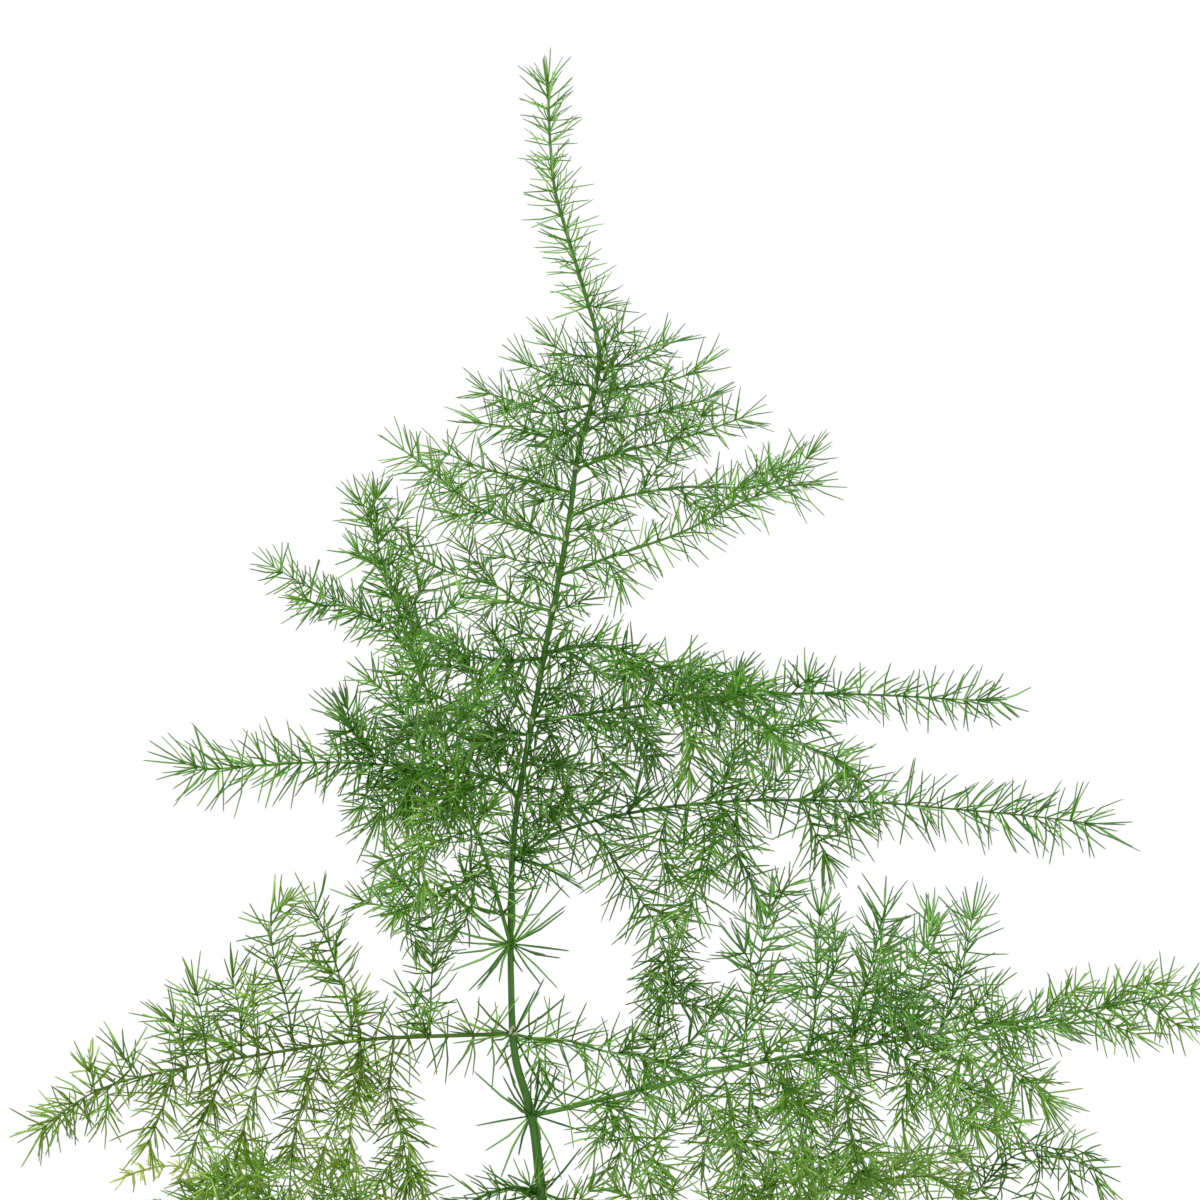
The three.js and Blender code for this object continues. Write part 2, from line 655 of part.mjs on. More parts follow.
// A lower frond's side branches leave it left and right in turn, in a plane rolled about the
// frond's own line. The longest stand a third of the way out.
function lowerFrond(frond, seed) {
  const random = seededStream(seed);
  const needleRandom = seededStream(seed + NEEDLE_SEED_STEP);
  const up = new THREE.Vector3(0, 0, 1);
  const finish = { foot: TWIG_FOOT, needleLength: NEEDLE_LENGTH, random: needleRandom };
  const { stem, leader } = stemAndLeader(archedStem(frond), LEAFY_FROM);
  const pieces = [taperedStem(stem, LOWER_STEM), spray(leader, LOWER_LEADER_NODES, finish)];
  const starts = betweenNodes(leader, LOWER_LEADER_NODES);
  starts.forEach(({ start, tangent }, i) => {
    const across = new THREE.Vector3().crossVectors(up, tangent).normalize();
    across.applyAxisAngle(tangent, radians(frond.roll)).multiplyScalar(i % 2 === 0 ? 1 : -1);
    const fan = varyAngle(random, BRANCH_FAN, BRANCH_FAN_SPREAD);
    const aim = across.multiplyScalar(Math.cos(fan)).addScaledVector(tangent, Math.sin(fan));
    const swell = Math.sin(Math.PI * (SWELL_FROM + (SWELL_RANGE * i) / starts.length));
    const length = frond.spread * swell * vary(random, LENGTH_SPREAD);
    const middle = start.clone().addScaledVector(aim, length / 2);
    const end = start.clone().addScaledVector(aim, length);
    middle.z += BRANCH_ARCH * length;
    end.z -= BRANCH_DROOP * length;
    const branch = new THREE.QuadraticBezierCurve3(start, middle, end);
    pieces.push(spray(branch, LOWER_TWIG_NODES, finish));
  });
  return grownTogether(pieces);
}

// A body of revolution about the upright axis, from a closed or axis-to-axis profile of
// [radius, height] corners
function turned(profile, sides) {
  const lathe = new THREE.LatheGeometry(profile.map(([r, z]) => new THREE.Vector2(r, z)), sides);
  lathe.rotateX(Math.PI / 2);
  return lathe;
}

// The radius of the pot's outer wall, under the rim band too
function outerRadius(height) {
  const underBand = POT_RIM_RADIUS - RIM_BAND_STEP;
  return THREE.MathUtils.lerp(POT_FOOT_RADIUS, underBand, height / POT_HEIGHT);
}

function innerRadius(height) {
  return outerRadius(height) - POT_WALL;
}

function potGeometry() {
  const bandFoot = POT_HEIGHT - RIM_BAND_HEIGHT;
  const lip = POT_HEIGHT - RIM_ROUNDING;
  return turned([
    [0, 0],
    [POT_FOOT_RADIUS - RIM_ROUNDING, 0],
    [POT_FOOT_RADIUS, RIM_ROUNDING],
    [outerRadius(bandFoot), bandFoot],
    [POT_RIM_RADIUS - RIM_ROUNDING, bandFoot],
    [POT_RIM_RADIUS, bandFoot + RIM_ROUNDING],
    [POT_RIM_RADIUS, lip],
    [POT_RIM_RADIUS - RIM_ROUNDING, POT_HEIGHT],
    [innerRadius(lip) + RIM_ROUNDING, POT_HEIGHT],
    [innerRadius(lip), lip],
    [innerRadius(POT_FLOOR), POT_FLOOR],
    [0, POT_FLOOR],
  ], ROUND_SIDES);
}

function wave(place, wavelength) {
  return Math.sin((2 * Math.PI * place) / wavelength);
}

// The mix fills the pot to a slightly mounded, uneven top, with a plain hole for every stem
function mixGeometry(feet) {
  const bottom = POT_FLOOR + CLEARANCE;
  const topRadius = innerRadius(MIX_TOP) - CLEARANCE;
  const profile = [[0, bottom], [innerRadius(bottom) - CLEARANCE, bottom], [topRadius, MIX_TOP]];
  for (let ring = MIX_RINGS - 1; ring >= 0; ring -= 1) {
    const share = ring / MIX_RINGS;
    profile.push([topRadius * share, MIX_TOP + MIX_MOUND * (1 - share * share)]);
  }
  const body = turned(profile, ROUND_SIDES);
  const position = body.attributes.position;
  for (let i = 0; i < position.count; i += 1) {
    const [x, y, z] = [position.getX(i), position.getY(i), position.getZ(i)];
    const lumps = wave(x, LUMP_LENGTH.x) * wave(y, LUMP_LENGTH.y) + wave(x + 2 * y, LUMP_LENGTH.slant);
    if (z > MIX_TOP) position.setZ(i, z + MIX_RELIEF * lumps);
  }
  const drill = new THREE.CylinderGeometry(1, 1, 2 * HOLE_DEPTH, HOLE_SIDES);
  drill.rotateX(Math.PI / 2);
  const holes = feet.map(({ x, y, radius }) => {
    const hole = drill.clone();
    const wide = (radius + CLEARANCE) / Math.cos(Math.PI / HOLE_SIDES);
    hole.scale(wide, wide, 1);
    hole.translate(x, y, MIX_TOP);
    return toSolid(hole);
  });
  return toGeometry(holes.reduce((mix, hole) => mix.subtract(hole), toSolid(body)));
}

const object = new THREE.Group();

function add(name, geometry, finish) {
  const mesh = new THREE.Mesh(geometry, new THREE.MeshStandardMaterial(finish));
  mesh.name = name;
  object.add(mesh);
}

const feet = [{ ...TALL_FOOT, radius: TALL_STEM.foot }];
LOWER_FRONDS.forEach(({ heading, footRadius }) => feet.push({
  x: footRadius * Math.cos(radians(heading)),
  y: footRadius * Math.sin(radians(heading)),
  radius: LOWER_STEM.foot,
}));
add('pot', potGeometry(), MATERIALS.pot);
add('potting_mix', mixGeometry(feet), MATERIALS.mix);
add('frond_tall', tallFrond(), MATERIALS.tall);
LOWER_FRONDS.forEach((frond, i) => {
  add(frond.name, lowerFrond(frond, LOWER_SEED + i), MATERIALS.lower);
});

export default object;
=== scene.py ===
import math
from dataclasses import dataclass

import bmesh
import bpy
import numpy as np
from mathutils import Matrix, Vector, noise


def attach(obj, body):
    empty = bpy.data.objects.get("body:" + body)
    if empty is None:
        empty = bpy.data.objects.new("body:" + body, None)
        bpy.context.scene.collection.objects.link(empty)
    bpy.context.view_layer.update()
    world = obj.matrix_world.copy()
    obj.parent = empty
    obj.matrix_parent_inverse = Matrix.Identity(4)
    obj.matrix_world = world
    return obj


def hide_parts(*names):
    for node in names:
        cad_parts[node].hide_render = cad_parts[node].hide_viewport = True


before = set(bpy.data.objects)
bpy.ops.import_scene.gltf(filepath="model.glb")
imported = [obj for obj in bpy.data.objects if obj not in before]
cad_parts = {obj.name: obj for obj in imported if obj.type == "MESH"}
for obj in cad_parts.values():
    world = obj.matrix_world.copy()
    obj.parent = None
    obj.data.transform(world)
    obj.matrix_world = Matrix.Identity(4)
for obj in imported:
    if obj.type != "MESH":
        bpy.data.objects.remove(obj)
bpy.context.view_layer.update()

MM = 0.001

# The pot and the mix, as in the solids
POT_HEIGHT = 112
POT_FOOT_RADIUS = 45
POT_RIM_RADIUS = 66
POT_WALL = 5
POT_FLOOR = 7
RIM_BAND_HEIGHT = 24
RIM_BAND_STEP = 3.5
MIX_BELOW_RIM = 13
MIX_TOP = POT_HEIGHT - MIX_BELOW_RIM
MIX_MOUND = 3
MIX_RELIEF = 0.9
# The lumps fade by this power of the distance from the middle, so only close to the wall
WALL_FADE = 6
LUMP_LENGTH = {"x": 20, "y": 23, "slant": 57}
CLEARANCE = 0.3

# The fronds' lines, as in the solids
STEM_IN_MIX = 22
STEM_ABOVE_MIX = 5
STEM_FOOT = MIX_TOP - STEM_IN_MIX + CLEARANCE
STEM_FREE = MIX_TOP + MIX_MOUND + STEM_ABOVE_MIX
TALL_FOOT = (11, 2)
LEAFY_LINE = 270
LEADER_START = 176
LOWER_SEED = 21
LOWER_LEADER_BARE = 2
LOWER_LEADER_INTERNODE = 9.5
NODE_BAND = 0.55
ARCH_START = (0.02, 0.62)
ARCH_TOP = (0.42, 1.16)
ARCH_POINTS = 10
LEAFY_FROM = 0.46
BRANCH_FAN = 34
BRANCH_FAN_SPREAD = 8
BRANCH_ARCH = 0.06
BRANCH_DROOP = 0.08
SWELL_FROM = 0.25
SWELL_RANGE = 0.7
LENGTH_SPREAD = 0.12

# Lines have points a step apart, and never fewer than this
LINE_STEP = 1.2
FEWEST_POINTS = 4
SMOOTHING = 16

# Stems, finer than in the solids. The tall stem's radius goes by height above the leafy line.
TALL_STEM_HEIGHTS = (-170, 0, 40, 72, 130, 180, 224)
TALL_STEM_RADII = (1.3, 1.0, 0.62, 0.56, 0.5, 0.38, 0.22)
TALL_STEM_LOOK = {"tone": 0.1, "cast": 0.6, "sides": 12, "ridge": 0.05}
NODE_SWELL = 0.2
NODE_SWELL_REACH = 1.1
BRANCH_SIDES = 6
BRANCH_SLIMNESS = 0.62
BRANCH_TIP = 0.16
TWIG_RADII = (0.22, 0.12)
LOWER_STEM_RADII = (1.1, 0.62)
LOWER_STEM_SIDES = 8
LOWER_LEADER_RADII = (0.62, 0.2)
LOWER_BRANCH_RADII = (0.42, 0.16)

# A needle's rings, as shares of its length and of its radius
NEEDLE_SHARES = (0.0, 0.5, 0.93)
NEEDLE_WIDTHS = (0.75, 1.0, 0.62)
NEEDLE_SIDES = 3
NEEDLE_RADIUS = 0.202
NEEDLE_THICKNESS = (0.85, 1.15)
# How far out of its stem's middle a needle's root sits, as a share of the stem's radius
NEEDLE_ROOT = 0.6
# Above this slope a needle's section is set out from a level axis
NEARLY_UPRIGHT = 0.8
# What the columns of a needle's row are, and the values that the last ones hold
ROOT = slice(0, 3)
AIM = slice(3, 6)
BEND = slice(6, 9)
LENGTH = 9
RADIUS = 10
FIRST_VALUE = 11
NEEDLE_VALUES = ("tone", "cast", "chance", "outer")
# The needles above and below this height are pieces of their own
NEEDLE_DIVIDE = 88
# The tall frond's needles grow finer and longer between these heights
FINER_BETWEEN = (100, 160)
FINER_LENGTH = 1.08
FINER_RADIUS = 0.78

# How the needles stand in tufts along a shoot. The tufts crowd towards the tip, and where they
# are far apart their needles are longer and lean further out.
NEEDLE_LENGTH = 6.2
NEEDLE_VARIATION = (0.8, 1.2)
NEEDLE_ANGLE = 70
NEEDLE_ANGLE_SPREAD = 28
NEEDLE_BEND = (-0.1, 0.34)
NEEDLE_SWAY = 0.12
NEEDLE_DROOP = 0.02
NEEDLE_TURN = 137.5
TURN_SPREAD = 40
TUFT_DISTANCE = 2.4
TUFT_WIDTH = 0.4
NODE_JITTER = 0.2
CROWDED_FROM = 0.55
OPEN_LEAN = 14
OPEN_LENGTH = 0.25
TIP_GATHER = 0.3
TIP_REACH = 4
TIP_NEEDLES = 4
TIP_ANGLE = (6, 55)

# How much the tone and the cast vary from needle to needle, and how a shoot pales to its tip
TONE_SPREAD = 0.08
CAST_SPREAD = 0.1
PALING = 0.1
# Twigs that rise are deeper and bluer than twigs that hang
CLIMB_DEPTH = 0.07
CLIMB_BLUE = 0.16

# Star-shaped whorls on the tall stem: height above the leafy line, needles, shortest and longest
WHORLS = [(2, 18, 10, 14), (16.6, 19, 11, 16), (33, 15, 10, 16), (51.4, 26, 11, 17)]
WHORL_LOOK = {"radii": (1.0, 0.4), "tone": 0.16, "cast": 0.3}
WHORL_LEAN = (28, 150)
WHORL_TURN_SPREAD = 0.6
WHORL_NEEDLE_RADIUS = 0.27

# The tall stem's two upper stretches have needles of their own
LEADER_LOOK = {
    "radii": (0.5, 0.2), "tone": 0.36, "cast": 0.5, "crowd": 10, "needle": 6, "bare": 0.5,
}
LEAFY_STEM_FROM = 58
LEAFY_STEM_LOOK = {"radii": (0.6, 0.4), "tone": 0.3, "cast": 0.5, "needle": 6.6, "gap": 3.4}

# How far a branch's line ends before the tips of its last needles
TIP_TRIM = 3.8

# How far the short side shoots swing to the front or back, and what their needles are like
SIDE_SHOOT_DEPTH = 7
SIDE_SHOOT_CROWD = 7
SIDE_SHOOT_BARE = 0.5
SIDE_SHOOT_TRIM = 2.5

# Extra shoots off the branches, and twiglets off the longer twigs
SHOOT_ANGLE = (38, 66)
SHOOT_FAN = 62
SHOOT_PLACE = (0.2, 0.8)
SHOOT_LENGTH_SPREAD = 0.35
SHOOT_ARCH = 0.05
SHOOT_DROOP = 0.1
SHOOT_RADII = (0.19, 0.12)
# A line this close to the line of sight has no depth of its own
END_ON = 0.2
TWIGLET_GAP = 8
TWIGLET_SHARES = (0.1, 0.75)
TWIGLET_LENGTH = 7.5

# Twigs on the lower fronds' side branches
LOWER_TWIG_FIRST = 5
LOWER_TWIG_LAST = 5
LOWER_TWIG_GAP = 4.4
LOWER_TWIG_LENGTH = 14
LOWER_TWIG_VARIATION = (0.8, 1.2)
LOWER_TWIG_FALL = 0.45
LOWER_TWIG_TILT = 0.35

# Papery scale leaves at the tall stem's nodes. Their foot is a share of their length below the
# node, and their width, belly, lift and cup are shares of the stem's radius.
SCALE_LENGTH = 3.4
SCALE_THICKNESS = 0.08
SCALE_TURN_RADIANS = 2.4
SCALE_RINGS = 7
SCALE_FOOT = 0.1
SCALE_WIDTH = 1.05
SCALE_TAPER = 0.7
SCALE_BELLY = 0.35
SCALE_LIFT = 0.35
SCALE_CUP = 0.35

# Fine forms of the pot: its turned rings, and how uneven it is by hand
POT_STEP = 2
POT_SIDES = 96
RIM_ROUNDING = 1.5
ROUNDING_STEP = 8
THROWING_RING = 2.6
THROWING_DEPTH = 0.07
POT_UNEVENNESS = 0.25
POT_WAVE = 30

# Fine forms of the mix, with two sizes of grain, crumbs and bark chips
MIX_RINGS = 46
MIX_SIDES = 144
MIX_EDGE = 1
GRAIN_SIZE = 3.2
FINE_GRAIN_SIZE = GRAIN_SIZE / 2.4
GRAIN_RELIEF = 0.5
CRUMBS = {"count": 900, "sizes": (0.5, 1.5), "flatness": 0.3, "detail": 1}
CHIPS = {"count": 260, "sizes": (1.2, 3.0), "flatness": 0.65, "detail": 2}
CRUMB_NARROWEST = 0.7
CRUMB_THINNEST = 0.25
CRUMB_ROUGHNESS = 0.28
CRUMB_TILT_RADIANS = 0.35
CRUMB_SINK = 0.15

# The photograph is 240 mm wide and high, and its middle is here
CAMERA_PLACE = (0.012, -2.5, 0.390)
CAMERA_LENS = 375
VIEW_DEPTH = 60
PLANT_MIDDLE = (0, 0, 0.3)
FLOOR_RADIUS = 4
FLOOR_SIDES = 128
SURROUND = {"Color": (1, 1, 1, 1), "Strength": 1.0}
LIGHTS = {
    "key_light": {"place": (-1.6, -1.9, 2.1), "width": 1.4, "watts": 26},
    "fill_light": {"place": (1.9, -1.4, 1.0), "width": 1.6, "watts": 8},
}

TALL_SEED = 11
NEEDLE_SEED = 500
CRUMB_SEED = 7


@dataclass
class Shoot:
    """A line with its radius at both ends or at every point, and what its needles are like. Crowd
    is how many stand in a tuft, and needle their length. Bare is its length without needles at the
    foot, and gap the distance between tufts there. Without sides it has needles but no stem of its
    own, and a ridge is a share of the radius."""

    line: np.ndarray
    radii: tuple
    tone: float
    cast: float
    crowd: int = 6
    needle: float = NEEDLE_LENGTH
    bare: float = 2.0
    sides: int = 5
    gap: float = TUFT_DISTANCE
    ridge: float = 0.0


@dataclass
class Branch:
    """A side branch of the tall frond. Its path starts with where it leaves the stem, right and
    up, and goes on with points right, back and up, with depths that count from there. So do its
    twigs. Foot is its radius at the stem. Each entry of shoots is a number of extra shoots, the
    shares of the branch between which they stand, and their length. Full is how many twiglets its
    twigs carry. Tone runs from deep to young green and cast from bluish to olive."""

    path: list
    foot: float = 0.5
    tone: float = 0.28
    cast: float = 0.52
    crowd: int = 7
    needle: float = 6
    gap: float = TUFT_DISTANCE
    bare: float = 1.5
    full: float = 0
    shoots: list | tuple = ()
    twigs: list | tuple = ()


@dataclass
class LowerFrond:
    """A lower frond's arch: where it heads, how far from the middle its foot is, how high it rises,
    how far it reaches and how much its end hangs. Then its blade's roll and spread, and what its
    needles are like. Tips are single shoots at its end: right, and up from the leafy line."""

    name: str
    heading: float
    foot: float
    rise: float
    reach: float
    droop: float
    roll: float
    spread: float
    tone: float
    cast: float
    crowd: int = 5
    needle: float = NEEDLE_LENGTH
    tip_tone: float = 0
    tip_needle: float = 0
    tips: list | tuple = ()


LOWER_FRONDS = [
    LowerFrond(
        "frond_left", heading=160, foot=20, rise=156, reach=54, droop=-6, roll=-16, spread=34,
        tone=0.48, cast=0.7, crowd=8, tip_tone=1.0, tip_needle=3,
        tips=[[(-72, 5), (-78, 5.4), (-84, 3.4)]],
    ),
    LowerFrond(
        "frond_front_left", heading=208, foot=17, rise=136, reach=116, droop=18, roll=0, spread=52,
        tone=0.42, cast=0.6,
    ),
    LowerFrond(
        "frond_front", heading=263, foot=16, rise=122, reach=112, droop=22, roll=6, spread=50,
        tone=0.36, cast=0.5,
    ),
    LowerFrond(
        "frond_front_right", heading=319, foot=18, rise=142, reach=118, droop=16, roll=-6,
        spread=52, tone=0.42, cast=0.46,
    ),
    LowerFrond(
        "frond_right", heading=20, foot=27, rise=162, reach=62, droop=-2, roll=12, spread=36,
        tone=0.56, cast=0.66, crowd=4, needle=5.2, tip_tone=0.15, tip_needle=6.5,
        tips=[
            [(88, 0), (92, 6), (96, 10), (104, 9), (110, 8), (113, 2)],
            [(94, 8), (94, 3), (91, -3)], [(100, 10), (101, 4), (99, -3)],
            [(104, 9), (107, 4), (107, -3)], [(90, 3), (86, 6), (84, 11)],
            [(90, 2), (95, 7), (100, 8.6), (106, 7.4), (111, 5)],
        ],
    ),
    LowerFrond(
        "frond_back_right", heading=64, foot=20, rise=128, reach=108, droop=16, roll=0, spread=50,
        tone=0.4, cast=0.5,
    ),
    LowerFrond(
        "frond_back_left", heading=114, foot=18, rise=138, reach=110, droop=14, roll=4, spread=50,
        tone=0.44, cast=0.55,
    ),
]

# The tall frond's stem, from the first bend above the mix to the tip: right, back, and up from the
# leafy line
TALL_STEM_PATH = [
    (9, 1, -120), (5, 0, -60), (2, 0, -20), (0.2, 0, 2), (-1.6, 0, 16.6), (-5, 0, 29),
    (-5.8, 0, 44), (-5.8, 0, 60), (-5.2, 0, 73), (-3, 0, 88), (-0.4, 0, 102), (1.4, 0, 112),
    (4, 0, 125.6), (6, 0, 137), (7.4, 0, 148), (10, 0, 158), (11.8, 0, 167), (11.4, 0, 173),
    (9.4, 0, 180), (5.6, 0, 192.6), (3, 0, 202), (2, 0, 212), (1.6, 0, 223.6),
]

